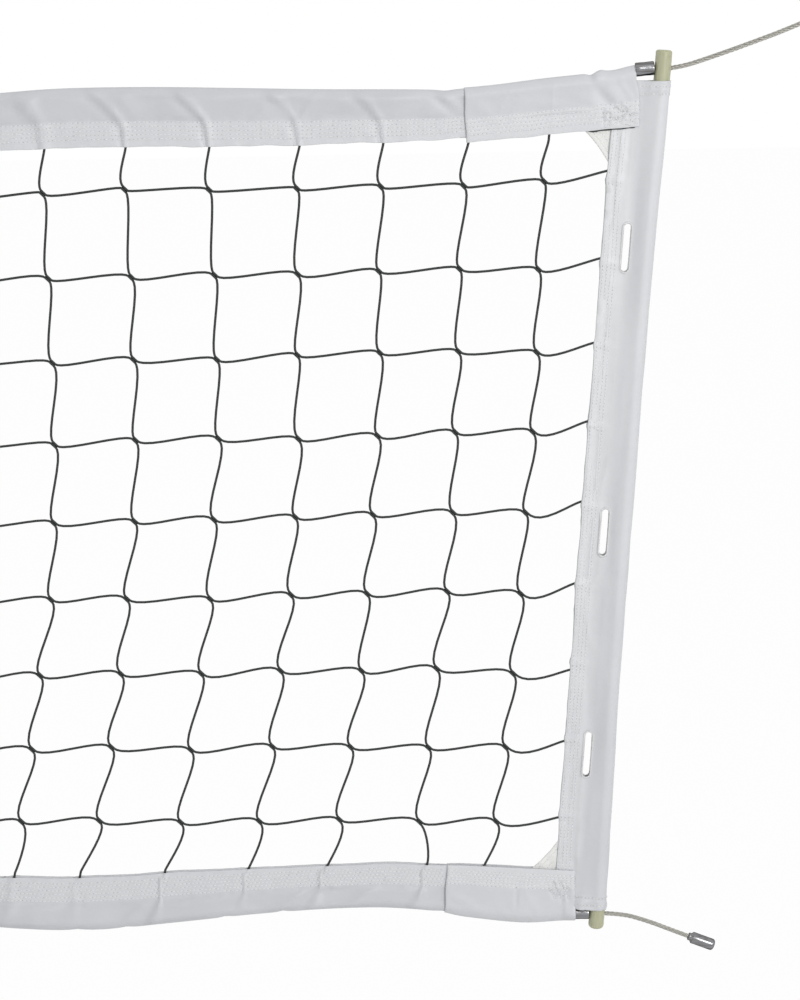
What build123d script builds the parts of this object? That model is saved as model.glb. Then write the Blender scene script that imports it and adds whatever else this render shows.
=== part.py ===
"""Volleyball net: square-mesh netting between two folded tapes, held open at each end by a fibreglass rod.

Millimetres. X runs along the net, Y is its thickness and Z is up. The origin is half way along the net on
the straight line between the holes at the tops of the two end rods, where the top cable carries the net.
Only the right-hand end is described in numbers: the left-hand end is its mirror image.
"""

from build123d import *

import os
from math import copysign, cos, pi, radians, sin, sqrt, tan

os.makedirs("parts", exist_ok=True)

# The whole net
HALF_SPAN = 4865.0  # from the middle to each rod's top hole
ROD_LEAN = radians(4.3)  # the bottom cable is shorter than the top one, so both rods lean outwards at the top
HOLE_DROP = 1030.0  # from the top holes down to the bottom holes

# End rods
ROD_DIAMETER = 19.0
ROD_ABOVE = 22.0  # how far a rod stands above its top hole
ROD_BELOW = 19.0
ROD_END_CHAMFER = 2.0
ROD_HOLE_DIAMETER = 7.8

# Cables and what is swaged on them
CABLE_DIAMETER = 5.4
CABLE_SIDES = 8  # cables and netting cords are many-sided rods, because there is so much of them
STOP_DIAMETER = 16.0
STOP_LENGTH = 21.0
STOP_CHAMFER = 1.2
STOP_GAP = 10.6  # from a rod's axis to the stop that bears on it
END_STOP_DIAMETER = 14.5
END_STOP_LENGTH = 34.0
COLLAR_DIAMETER = 9.0
COLLAR_LENGTH = 3.5
END_STOP_CHAMFER = 2.0

# Cloth
PLY = 0.8
TAPE_GAP = 4.1  # half the room between a tape's two plies
PATCH_GAP = 5.0
BAND_GAP = 3.2
TOP_TAPE_HEIGHT = 66.0
BOTTOM_TAPE_HEIGHT = 62.0
PATCH_OVERHANG = 1.0
CABLE_END_GAP = 0.4
TAPE_END_GAP = 1.9  # from a stop to the ends of the tape and the patch beside it

# How the tapes run: level along the net, then spreading towards the rods' ends
TOP_FLARE_START = 258.0  # from the rod's top hole, along X
TOP_FLARE = 20.0
BOTTOM_FLARE_START = 350.0
BOTTOM_FLARE = 14.0
FLARE_RADIUS = 600.0
TOP_PATCH_SEAM = 228.0
BOTTOM_PATCH_SEAM = 262.0

# Side bands, in their own lengths from the rod's axis and down from its top hole
BAND_INNER_EDGE = 54.5
BAND_TOP = 13.0
BAND_BOTTOM = 1020.0
POCKET_RADIUS = 9.8
POCKET_NECK = 20.0  # where the two plies come together beside the rod
SLOT_OFFSET = 26.0
SLOT_LENGTH = 57.0
SLOT_WIDTH = 9.0
SLOT_DROPS = (208.0, 550.0, 828.0)

# Netting
CORD_DIAMETER = 3.0
CORD_SIDES = 6
CORD_OFFSET = 1.6  # rows lie this far behind the middle plane, and columns as far in front
MESH_PITCH = 96.6
COLUMNS_PER_SIDE = 49
ROWS = 9
FIRST_ROW = -130.0
COLUMN_TOP = -45.0
COLUMN_BOTTOM = -990.0
ROW_TUCK = 12.0  # how far a row runs into a side band

# Corner gussets: the tip along the tape, the corner and the tip along the band, from the rod's top hole
TOP_GUSSET = ((-104.0, -58.0), (-42.0, -58.0), (-55.0, -123.0))
BOTTOM_GUSSET = ((-171.0, -978.0), (-106.0, -978.0), (-112.0, -914.0))
GUSSET_THICKNESS = 1.6
GUSSET_HOLLOW = 5.0

# Free cable ends, as points along their middle lines from the rod's top hole
TOP_TAIL = ((-10.6, 0.0), (15.0, 0.0), (64.0, 15.5), (101.0, 28.0), (138.0, 41.0), (170.0, 54.0))
BOTTOM_TAIL = ((-88.0, -1030.0), (-50.0, -1030.0), (-13.0, -1042.0), (14.0, -1053.5), (36.0, -1062.3))

bottom_hole_inset = HOLE_DROP * tan(ROD_LEAN)


def finish(builder, label):
    """Name a finished piece and write it as its own STEP file."""
    builder.part.label = label
    export_step(builder.part, f"parts/{label}.step")


def rod_axis_x(z):
    """Where the right-hand rod's axis is at height z."""
    return HALF_SPAN + z * tan(ROD_LEAN)


def rod_plane(side):
    """A plane across the rod at its top hole: x points away from the net and z up the rod."""
    return Plane(
        origin=(side * HALF_SPAN, 0, 0),
        x_dir=(side * cos(ROD_LEAN), 0, -sin(ROD_LEAN)),
        z_dir=(side * sin(ROD_LEAN), 0, cos(ROD_LEAN)),
    )


def band_face(side):
    """A plane along the rod, facing the front: x points away from the net and y up the rod."""
    across = rod_plane(side)
    return Plane(origin=across.origin, x_dir=across.x_dir, z_dir=across.x_dir.cross(across.z_dir))


def points_in_space(side, route):
    """A route given from the right-hand rod's top hole, as points in space."""
    return [Vector(side * (HALF_SPAN + x), 0, z) for x, z in route]


def smooth_radii(points):
    """The largest radius that each corner's two runs allow."""
    radii = []
    for before, corner, after in zip(points, points[1:], points[2:]):
        turn = radians((corner - before).get_angle(after - corner))
        shorter = min((corner - before).length, (after - corner).length)
        radii.append(0.45 * shorter / tan(turn / 2))
    return radii


def hem_line(points):
    """The line that a cable follows in its hem from rod to rod."""
    with BuildLine() as line:
        FilletPolyline(*points, radius=FLARE_RADIUS)
    return line.line


def section_plane(line):
    """A plane across a line at its start: x is the thickness and y points up."""
    return Plane(origin=line @ 0, x_dir=(0, 1, 0), z_dir=line % 0)


def cord_section(diameter, sides):
    """A many-sided section with the area of a round one of that diameter."""
    area_per_radius_squared = sides / 2 * sin(2 * pi / sides)
    return RegularPolygon(diameter / 2 * sqrt(pi / area_per_radius_squared), sides)


def ply_drop(height, gap):
    """How far the plies reach past the cable in a tape that is that high, upwards if height is negative."""
    return copysign(abs(height) - gap - PLY, height)


def folded_section(gap, drop):
    """The outline of a tape folded over a cable: two plies that hang down, or stand up if drop is negative."""
    outer = gap + PLY
    fold = 1 if drop > 0 else -1
    with BuildSketch(Plane.XY) as section:
        with BuildLine():
            Line((-gap, -drop), (-outer, -drop))
            Line((-outer, -drop), (-outer, 0))
            ThreePointArc((-outer, 0), (0, fold * outer), (outer, 0))
            Line((outer, 0), (outer, -drop))
            Line((outer, -drop), (gap, -drop))
            Line((gap, -drop), (gap, 0))
            ThreePointArc((gap, 0), (0, fold * gap), (-gap, 0))
            Line((-gap, 0), (-gap, -drop))
        make_face()
    return section.sketch


# Top and bottom hems. Each cable runs level along the net and spreads towards the holes in the rods.
top_stop_end = STOP_GAP + STOP_LENGTH
bottom_stop_end = bottom_hole_inset + STOP_GAP + STOP_LENGTH
top_slope = TOP_FLARE / (TOP_FLARE_START - top_stop_end)
bottom_slope = BOTTOM_FLARE / (BOTTOM_FLARE_START - bottom_stop_end)


def top_hem(end):
    """The top cable's line, stopping that far from each rod's top hole."""
    reach = HALF_SPAN - TOP_FLARE_START
    tip = HALF_SPAN - end
    rise = top_slope * (tip - reach) - TOP_FLARE
    return hem_line([(-tip, 0, rise), (-reach, 0, -TOP_FLARE), (reach, 0, -TOP_FLARE), (tip, 0, rise)])


def bottom_hem(end):
    """The bottom cable's line, stopping that far from each rod's top hole, measured along X."""
    reach = HALF_SPAN - BOTTOM_FLARE_START
    tip = HALF_SPAN - end
    level = BOTTOM_FLARE - HOLE_DROP
    fall = level - bottom_slope * (tip - reach)
    return hem_line([(-tip, 0, fall), (-reach, 0, level), (reach, 0, level), (tip, 0, fall)])


hems = (
    ("top", top_hem, top_stop_end, CABLE_END_GAP, TOP_TAPE_HEIGHT),
    ("bottom", bottom_hem, bottom_stop_end, 0.0, -BOTTOM_TAPE_HEIGHT),
)
for name, hem, stop_end, cable_gap, height in hems:
    cable_line = hem(stop_end + cable_gap)
    with BuildPart() as hidden_cable:
        with BuildSketch(section_plane(cable_line)):
            cord_section(CABLE_DIAMETER, CABLE_SIDES)
        sweep(path=cable_line)
    finish(hidden_cable, f"{name}_cable")

    tape_line = hem(stop_end + TAPE_END_GAP)
    drop = ply_drop(height, TAPE_GAP)
    with BuildPart() as tape:
        with BuildSketch(section_plane(tape_line)):
            add(folded_section(TAPE_GAP, drop))
        sweep(path=tape_line)
    finish(tape, f"{name}_tape")

# Netting. Rows run level from band to band, and columns lean as much as their share of the rods' lean.
with BuildPart() as mesh_rows:
    for row in range(ROWS):
        z = FIRST_ROW - row * MESH_PITCH
        half_length = rod_axis_x(z) - BAND_INNER_EDGE / cos(ROD_LEAN) + ROW_TUCK
        with BuildSketch(Plane(origin=(-half_length, CORD_OFFSET, z), z_dir=(1, 0, 0))):
            cord_section(CORD_DIAMETER, CORD_SIDES)
        extrude(amount=2 * half_length)
finish(mesh_rows, "mesh_rows")

with BuildPart() as mesh_columns:
    for column in range(-COLUMNS_PER_SIDE, COLUMNS_PER_SIDE + 1):
        share = column * MESH_PITCH / HALF_SPAN
        top = Vector(share * rod_axis_x(COLUMN_TOP), -CORD_OFFSET, COLUMN_TOP)
        bottom = Vector(share * rod_axis_x(COLUMN_BOTTOM), -CORD_OFFSET, COLUMN_BOTTOM)
        with BuildSketch(Plane(origin=bottom, x_dir=(0, 1, 0), z_dir=top - bottom)):
            cord_section(CORD_DIAMETER, CORD_SIDES)
        extrude(amount=(top - bottom).length)
finish(mesh_columns, "mesh_columns")

for side_name, side in (("right", 1), ("left", -1)):
    # End rod: round ends, and a hole near each end that a cable passes through
    with BuildPart() as rod:
        with BuildSketch(rod_plane(side).offset(ROD_ABOVE)):
            Circle(ROD_DIAMETER / 2)
        rod_length = ROD_ABOVE + HOLE_DROP / cos(ROD_LEAN) + ROD_BELOW
        extrude(amount=-rod_length)
        chamfer(rod.edges().filter_by(GeomType.CIRCLE), ROD_END_CHAMFER)
        with BuildSketch(Plane(origin=rod_plane(side).origin, x_dir=(0, 1, 0), z_dir=rod_plane(side).x_dir)):
            with Locations((0, 0), (0, -side * HOLE_DROP / cos(ROD_LEAN))):
                Circle(ROD_HOLE_DIAMETER / 2)
        extrude(amount=ROD_DIAMETER, both=True, mode=Mode.SUBTRACT)
    finish(rod, f"rod_{side_name}")

    # Side band: one strip folded round the rod, its plies brought together and pierced by strap slots
    with BuildPart() as band:
        with BuildSketch(rod_plane(side).offset(-BAND_TOP)):
            Circle(POCKET_RADIUS + PLY)
            with Locations((-POCKET_NECK, 0)):
                Circle(BAND_GAP + PLY)
            make_hull()
            with Locations((-(POCKET_NECK + BAND_INNER_EDGE) / 2, 0)):
                Rectangle(BAND_INNER_EDGE - POCKET_NECK, 2 * (BAND_GAP + PLY))
        extrude(amount=-(BAND_BOTTOM - BAND_TOP))
        with BuildSketch(rod_plane(side).offset(-BAND_TOP)):
            Circle(POCKET_RADIUS)
            with Locations((-POCKET_NECK, 0)):
                Circle(BAND_GAP)
            make_hull()
            with Locations((-(POCKET_NECK + BAND_INNER_EDGE) / 2, 0)):
                Rectangle(BAND_INNER_EDGE - POCKET_NECK, 2 * BAND_GAP)
        extrude(amount=-(BAND_BOTTOM - BAND_TOP), mode=Mode.SUBTRACT)
        with BuildSketch(band_face(side)):
            with Locations(*[(-SLOT_OFFSET, -drop) for drop in SLOT_DROPS]):
                SlotOverall(SLOT_LENGTH, SLOT_WIDTH, rotation=90)
        extrude(amount=ROD_DIAMETER, both=True, mode=Mode.SUBTRACT)
    finish(band, f"side_band_{side_name}")

    # Corner gussets: hollow-edged triangles sewn in between the plies where a tape meets the band
    for name, (tip_in, corner, tip_along) in (("top", TOP_GUSSET), ("bottom", BOTTOM_GUSSET)):
        edge = Vector(*tip_along) - Vector(*tip_in)
        middle = Vector(*tip_in) + edge / 2
        towards_corner = (Vector(*corner) - middle).normalized()
        hollow = middle + towards_corner * GUSSET_HOLLOW
        outline = [Vector(side * (HALF_SPAN + p.X), p.Y) for p in (Vector(*tip_in), hollow, Vector(*tip_along))]
        inner = Vector(side * (HALF_SPAN + corner[0]), corner[1])
        with BuildPart() as gusset:
            with BuildSketch(Plane.XZ):
                with BuildLine():
                    ThreePointArc(*outline)
                    Line(outline[2], inner)
                    Line(inner, outline[0])
                make_face()
            extrude(amount=GUSSET_THICKNESS / 2, both=True)
        finish(gusset, f"{name}_gusset_{side_name}")

    # End patches: a second folded layer over the last stretch of each tape, from its seam to its end
    for name, seam, stop_end, height, slope, end_height in (
        ("top", TOP_PATCH_SEAM, top_stop_end, TOP_TAPE_HEIGHT, top_slope, 0.0),
        ("bottom", BOTTOM_PATCH_SEAM, bottom_stop_end, -BOTTOM_TAPE_HEIGHT, -bottom_slope, -HOLE_DROP),
    ):
        patch_end = stop_end + TAPE_END_GAP
        ends = [
            Vector(side * (HALF_SPAN - inset), 0, end_height - slope * (inset - stop_end))
            for inset in (seam, patch_end)
        ]
        drop = ply_drop(height, PATCH_GAP - PATCH_OVERHANG)
        with BuildPart() as patch:
            patch_line = Line(*sorted(ends, key=lambda point: point.X))
            with BuildSketch(section_plane(patch_line)):
                add(folded_section(PATCH_GAP, drop))
            extrude(amount=patch_line.length)
        finish(patch, f"{name}_patch_{side_name}")

    # Free cable ends, from the stop through the hole in the rod
    for name, route in (("top", TOP_TAIL), ("bottom", BOTTOM_TAIL)):
        corners = points_in_space(side, route)
        radii = smooth_radii(corners)
        print(f"{name} tail {side_name}: radii", [round(radius) for radius in radii])
        with BuildLine() as tail_line:
            FilletPolyline(*corners, radius=radii)
        with BuildPart() as tail:
            with BuildSketch(section_plane(tail_line.line)):
                cord_section(CABLE_DIAMETER, CABLE_SIDES)
            sweep(path=tail_line.line)
        length = tail_line.wire().length
        tube_volume = length * pi * (CABLE_DIAMETER / 2) ** 2
        print(f"  length {length:.1f}, volume against section times length {tail.part.volume / tube_volume:.4f}")
        finish(tail, f"{name}_tail_{side_name}")

# Swaged stops: a plain sleeve that bears on each rod, and a collared one on the tip of each free end
for name, route in (("top", TOP_TAIL), ("bottom", BOTTOM_TAIL)):
    with BuildPart() as stops:
        for side in (1, -1):
            face = points_in_space(side, route)[0]
            with BuildSketch(Plane(origin=face, x_dir=(0, 1, 0), z_dir=(-side, 0, 0))):
                Circle(STOP_DIAMETER / 2)
            extrude(amount=STOP_LENGTH)
        chamfer(stops.edges().filter_by(GeomType.CIRCLE), STOP_CHAMFER)
    finish(stops, f"{name}_stops")

    with BuildPart() as end_stops:
        for side in (1, -1):
            before, mouth = points_in_space(side, route)[-2:]
            sleeve = Plane(origin=mouth, x_dir=(0, 1, 0), z_dir=mouth - before)
            with BuildSketch(sleeve):
                Circle(COLLAR_DIAMETER / 2)
            extrude(amount=COLLAR_LENGTH)
            with BuildSketch(sleeve.offset(COLLAR_LENGTH)):
                Circle(END_STOP_DIAMETER / 2)
            extrude(amount=END_STOP_LENGTH - COLLAR_LENGTH)
        outer_tips = end_stops.edges().filter_by(GeomType.CIRCLE).group_by(SortBy.RADIUS)[-1]
        chamfer([tip for tip in outer_tips if abs(tip.center().X) > HALF_SPAN + route[-1][0] + STOP_LENGTH],
                END_STOP_CHAMFER)
    finish(end_stops, f"{name}_end_stops")
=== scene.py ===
"""Volleyball net, dressed: cloth, netting, wire rope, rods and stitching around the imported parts.

Metres, in the parts' own frame: X runs along the net, Y is its thickness and Z is up. The right-hand end
is described. The left-hand end mirrors it, apart from how the netting hangs and the cloth's small folds.
"""

from functools import partial
from math import atan2, cos, pi, radians, sin, tau
from types import SimpleNamespace

import bpy
import numpy as np
from mathutils import Matrix, Vector
from mathutils.geometry import delaunay_2d_cdt


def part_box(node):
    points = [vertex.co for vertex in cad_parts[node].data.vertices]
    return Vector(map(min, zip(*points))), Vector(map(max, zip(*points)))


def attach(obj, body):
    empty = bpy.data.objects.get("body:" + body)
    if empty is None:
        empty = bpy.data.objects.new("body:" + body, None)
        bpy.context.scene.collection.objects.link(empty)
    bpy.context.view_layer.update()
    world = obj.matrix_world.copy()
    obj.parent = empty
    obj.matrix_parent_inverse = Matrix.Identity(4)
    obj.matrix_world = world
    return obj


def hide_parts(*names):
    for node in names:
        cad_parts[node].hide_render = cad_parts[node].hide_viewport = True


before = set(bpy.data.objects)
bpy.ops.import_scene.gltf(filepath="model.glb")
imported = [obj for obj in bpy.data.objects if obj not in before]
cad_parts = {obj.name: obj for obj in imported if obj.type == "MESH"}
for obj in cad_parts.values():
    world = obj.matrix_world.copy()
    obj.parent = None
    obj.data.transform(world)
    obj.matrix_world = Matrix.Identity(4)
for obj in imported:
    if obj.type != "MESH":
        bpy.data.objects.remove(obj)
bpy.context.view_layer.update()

# ---------------------------------------------------------------------------------------------------
# The corners. Each rod is drilled near its ends, and the cables run through these four holes. Everything
# else is placed from them, and they are found from the sleeves that bear on the rods.
STOP_GAP = 0.0106  # from a rod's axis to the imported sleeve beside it
SIDES = (("right", 1), ("left", -1))

top_hole = Vector((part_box("top_stops")[1].x + STOP_GAP, 0, 0))
sleeves_low, sleeves_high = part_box("bottom_stops")
bottom_hole = Vector((sleeves_high.x + STOP_GAP, 0, (sleeves_low.z + sleeves_high.z) / 2))
lean = atan2(top_hole.x - bottom_hole.x, top_hole.z - bottom_hole.z)

# ---------------------------------------------------------------------------------------------------
# Camera and studio. The camera stands just above the top right-hand corner and looks a little down. A
# large soft lamp stands to the right of it and its twin behind the net, with a narrow one for the steel's
# highlights, over a pale floor under a net at its playing height.
LENS = 93.6
CAMERA_INSET = 0.312  # inwards from the corner
CAMERA_DISTANCE = 3.039
CAMERA_HEIGHT = 0.145
CAMERA_PITCH = radians(12.04)
CAMERA_ROLL = radians(1.0)
FLOOR_DEPTH = 2.43  # below the top cable
FLOOR_SIZE = 60.0
FLOOR_GLOW = 0.97  # share of the floor's look, where it is seen directly, that is plain white
SKY_STRENGTH = 0.62  # of the light that falls on things; what is seen of it directly is white

camera_data = bpy.data.cameras.new("camera")
camera_data.lens = LENS
camera = bpy.data.objects.new("camera", camera_data)
bpy.context.scene.collection.objects.link(camera)
camera.matrix_world = (
    Matrix.Translation((top_hole.x - CAMERA_INSET, -CAMERA_DISTANCE, CAMERA_HEIGHT))
    @ Matrix.Rotation(pi / 2 - CAMERA_PITCH, 4, "X")
    @ Matrix.Rotation(-CAMERA_ROLL, 4, "Z")
)
bpy.context.scene.camera = camera
bpy.context.scene.view_settings.view_transform = "Standard"


class Signal:
    """A node's output, which takes part in sums as a number does."""

    def __init__(self, tree, socket):
        self.tree = tree
        self.socket = socket

    def maths(self, operation, *values):
        return self.tree.add("ShaderNodeMath", {"operation": operation}, values)

    def __add__(self, other):
        return self.maths("ADD", self, other)

    def __sub__(self, other):
        return self.maths("SUBTRACT", self, other)

    def __rsub__(self, other):
        return self.maths("SUBTRACT", other, self)

    def __mul__(self, other):
        return self.maths("MULTIPLY", self, other)

    def __truediv__(self, other):
        return self.maths("DIVIDE", self, other)

    __radd__ = __add__
    __rmul__ = __mul__

    def sine(self):
        return self.maths("SINE", self)

    def cosine(self):
        return self.maths("COSINE", self)

    def positive(self):
        return self.maths("MAXIMUM", self, 0.0)


class Tree:
    """Adds nodes to a material, a world or a geometry tree."""

    def __init__(self, nodes):
        self.nodes = nodes

    def add(self, kind, settings=(), sockets=(), output=0):
        """A node of that kind, with its settings made first and then its sockets fed."""
        node = self.nodes.nodes.new(kind)
        for name, value in dict(settings).items():
            setattr(node, name, value)
        named = sockets if isinstance(sockets, dict) else dict(enumerate(sockets))
        for name, value in named.items():
            if isinstance(value, Signal):
                self.nodes.links.new(value.socket, node.inputs[name])
            else:
                node.inputs[name].default_value = value
        return Signal(self, node.outputs[output]) if node.outputs else node

    def mix(self, share, low, high):
        """A colour between two colours."""
        return self.add("ShaderNodeMix", {"data_type": "RGBA"}, {0: share, 6: low, 7: high}, output=2)

    def here(self):
        """Places in the parts' own frame."""
        return self.add("ShaderNodeTexCoord", {}, output=3)

    def stretched(self, place, scales):
        """Places scaled along each axis, for noise that is drawn out into streaks."""
        return self.add("ShaderNodeMapping", {}, {"Vector": place, "Scale": scales})

    def noise(self, place, scale, detail, roughness=0.5):
        """Clouds from 0 to 1."""
        return self.add("ShaderNodeTexNoise", {}, {"Vector": place, "Scale": scale, "Detail": detail,
                                                   "Roughness": roughness})

    def relief(self, strength, distance, height):
        """The normal of a surface that stands up where the height does."""
        return self.add("ShaderNodeBump", {}, {"Strength": strength, "Distance": distance, "Height": height})

    def along_surface(self, uv_map):
        """The two coordinates of a piece's own UV map."""
        place = self.add("ShaderNodeUVMap", {"uv_map": uv_map})
        parts = self.add("ShaderNodeSeparateXYZ", {}, [place]).socket.node
        return Signal(self, parts.outputs[0]), Signal(self, parts.outputs[1])


def seen_directly(tree):
    """1 for what the camera, a reflection or glass sees, and 0 for light that falls on things."""
    path = tree.add("ShaderNodeLightPath").socket.node
    rays = [Signal(tree, path.outputs[name])
            for name in ("Is Camera Ray", "Is Glossy Ray", "Is Transmission Ray")]
    return rays[0].maths("MAXIMUM", rays[0], rays[1].maths("MAXIMUM", rays[1], rays[2]))


world = bpy.data.worlds.new("studio")
bpy.context.scene.world = world
world.use_nodes = True
world.node_tree.nodes.clear()
sky = Tree(world.node_tree)
seen = seen_directly(sky)
backdrop = sky.add("ShaderNodeBackground", {}, {"Color": (1, 1, 1, 1),
                                               "Strength": seen * (1 - SKY_STRENGTH) + SKY_STRENGTH})
sky.add("ShaderNodeOutputWorld", {}, {"Surface": backdrop})


def soft_lamp(name, place, aim, width, height, power):
    """A soft box at a place, turned towards another."""
    lamp_data = bpy.data.lights.new(name, "AREA")
    lamp_data.shape = "RECTANGLE"
    lamp_data.size = width
    lamp_data.size_y = height
    lamp_data.energy = power
    lamp = bpy.data.objects.new(name, lamp_data)
    bpy.context.scene.collection.objects.link(lamp)
    lamp.location = place
    lamp.rotation_euler = (Vector(aim) - Vector(place)).to_track_quat("-Z", "Y").to_euler()


for lamp_name, turned_by in (("key", 1), ("key_behind", -1)):
    soft_lamp(lamp_name, (turned_by * (top_hole.x + 2.7), turned_by * -4.9, 1.1),
              (turned_by * (top_hole.x - 0.4), 0, -0.5), width=1.6, height=1.6, power=118)
soft_lamp("sparkle", (top_hole.x + 0.33, -3.3, 1.4), (top_hole.x - 0.4, 0, -0.5),
          width=0.35, height=2.4, power=15)

floor_paint = bpy.data.materials.new("floor_paint")
floor_paint.use_nodes = True
floor_paint.node_tree.nodes.clear()
paint = Tree(floor_paint.node_tree)
matt = paint.add("ShaderNodeBsdfDiffuse", {}, {"Color": (0.82, 0.82, 0.82, 1)})
white = paint.add("ShaderNodeEmission", {}, {"Color": (1, 1, 1, 1), "Strength": 1.0})
glowing = paint.add("ShaderNodeMixShader", {}, {0: seen_directly(paint) * FLOOR_GLOW, 1: matt, 2: white})
paint.add("ShaderNodeOutputMaterial", {}, {"Surface": glowing})

floor_mesh = bpy.data.meshes.new("floor")
half = FLOOR_SIZE / 2
floor_mesh.from_pydata(
    [(x, y, -FLOOR_DEPTH) for x, y in ((-half, -half), (half, -half), (half, half), (-half, half))],
    [], [(0, 1, 2, 3)])
floor_mesh.materials.append(floor_paint)
floor = bpy.data.objects.new("floor", floor_mesh)
bpy.context.scene.collection.objects.link(floor)

# ---------------------------------------------------------------------------------------------------
# Free cable ends. Each is 5.4 mm galvanised wire rope of six strands round a core, pushed through the
# rod's drilled hole and left springy. The same rope runs on inside the hems from corner to corner.
ROPE_DIAMETER = 0.0054
ROPE_LAY = 0.034  # one turn of a strand
WIRE_LAY = 0.0062  # one turn of a wire in its strand
MILLIMETRE = 0.001
# The tails' routes in millimetres, X from the right-hand rod's top hole and Z from the top hole
TOP_TAIL = ((-10.6, 0.0), (15.0, 0.0), (64.0, 15.5), (101.0, 28.0), (138.0, 41.0), (170.0, 54.0))
BOTTOM_TAIL = ((-88.0, -1030.0), (-50.0, -1030.0), (-13.0, -1042.0), (14.0, -1053.5), (36.0, -1062.3))
TOP_TAIL_LENGTH = 0.190
BOTTOM_TAIL_LENGTH = 0.130


def principled(name, settings, build):
    """A material whose surface has the fixed settings, and the changing ones that build() returns."""
    material = bpy.data.materials.new(name)
    material.use_nodes = True
    material.node_tree.nodes.clear()
    tree = Tree(material.node_tree)
    surface = tree.add("ShaderNodeBsdfPrincipled", {}, {**settings, **build(tree)})
    tree.add("ShaderNodeOutputMaterial", {}, {"Surface": surface})
    return material


def wire_rope_finish(tree):
    """Dull zinc: the wire crests stand out in every strand, grime lies over them, and the grooves between
    are coloured darker as painted shade.
    """
    along, turn = tree.along_surface("along_round")
    wires_and_groove_shade = ((along * (tau / WIRE_LAY) + turn * tau * 2).sine() + 1) * 0.5
    grime = tree.noise(tree.here(), 420.0, 4.0)
    # painted shade: the colour darkens in the grooves between the wire crests; the grime noise is dirt
    colour = tree.mix(grime * 0.6 + wires_and_groove_shade * 0.3, (0.13, 0.125, 0.105, 1), (0.66, 0.65, 0.60, 1))
    return {"Base Color": colour, "Roughness": grime * 0.3 + 0.28,
            "Normal": tree.relief(0.8, 0.0003, wires_and_groove_shade)}


wire_rope = principled("wire_rope", {"Metallic": 0.75}, wire_rope_finish)


def new_object(name, mesh):
    """An object at the origin that holds a mesh."""
    thing = bpy.data.objects.new(name, mesh)
    bpy.context.scene.collection.objects.link(thing)
    return thing


def line_object(name, lines):
    """An object that holds only lines, each through its points."""
    points = np.concatenate(lines)
    edges = []
    start = 0
    for line in lines:
        edges += [(start + i, start + i + 1) for i in range(len(line) - 1)]
        start += len(line)
    mesh = bpy.data.meshes.new(name)
    mesh.from_pydata(points.tolist(), edges, [])
    return new_object(name, mesh)


def geometry_tree(name, inputs):
    """An empty geometry tree with named inputs after its geometry, and its inputs as signals."""
    group = bpy.data.node_groups.new(name, "GeometryNodeTree")
    group.interface.new_socket("Geometry", in_out="INPUT", socket_type="NodeSocketGeometry")
    for label, kind in inputs:
        group.interface.new_socket(label, in_out="INPUT", socket_type=f"NodeSocket{kind}")
    group.interface.new_socket("Geometry", in_out="OUTPUT", socket_type="NodeSocketGeometry")
    tree = Tree(group)
    start = tree.add("NodeGroupInput").socket.node
    return tree, [Signal(tree, socket) for socket in start.outputs[:len(inputs) + 1]]


def finish_tree(tree, geometry, material):
    """Ends a geometry tree in real geometry with its material."""
    real = tree.add("GeometryNodeRealizeInstances", {}, [geometry])
    smooth = tree.add("GeometryNodeSetShadeSmooth", {}, [real])
    coated = tree.add("GeometryNodeSetMaterial", {}, {"Geometry": smooth, "Material": material})
    tree.add("NodeGroupOutput", {}, [coated])


def settled(thing):
    """Leaves what an object's modifiers make as its plain mesh, and gives that mesh."""
    depsgraph = bpy.context.evaluated_depsgraph_get()
    made = bpy.data.meshes.new_from_object(thing.evaluated_get(depsgraph), depsgraph=depsgraph)
    thing.modifiers.clear()
    thing.data = made
    made.name = thing.name
    return made


def grow(thing, tree, inputs):
    """Runs a geometry tree on an object, and leaves what it makes as the object's plain mesh."""
    modifier = thing.modifiers.new("shape", "NODES")
    modifier.node_group = tree.nodes
    for item in tree.nodes.interface.items_tree:
        if item.in_out == "INPUT" and item.name in inputs:
            modifier[item.identifier] = inputs[item.name]
    settled(thing)


def read_from(items, field, kind):
    """One field of every point, corner or face of a mesh."""
    values = np.zeros(len(items), kind)
    items.foreach_get(field, values)
    return values


def map_surface(mesh, name, places):
    """Gives a mesh a UV map, from a pair of coordinates at each corner of its faces."""
    layer = mesh.uv_layers.new(name=name)
    layer.data.foreach_set("uv", places.ravel().astype(np.float32))


def map_cord(mesh):
    """A cord's UV map: metres along it and turns round it, with no streak where the turns start again."""
    along = read_from(mesh.attributes["along"].data, "value", np.float32)
    turn = read_from(mesh.attributes["turn"].data, "value", np.float32)
    corners = read_from(mesh.loops, "vertex_index", np.int32)
    starts = read_from(mesh.polygons, "loop_start", np.int32)
    counts = np.diff(np.append(starts, len(corners)))
    turns = turn[corners]
    most = np.repeat(np.maximum.reduceat(turns, starts), counts)
    turns = np.where(most - turns > 0.5, turns + 1, turns)
    map_surface(mesh, "along_round", np.stack([along[corners], turns], axis=1))


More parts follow.
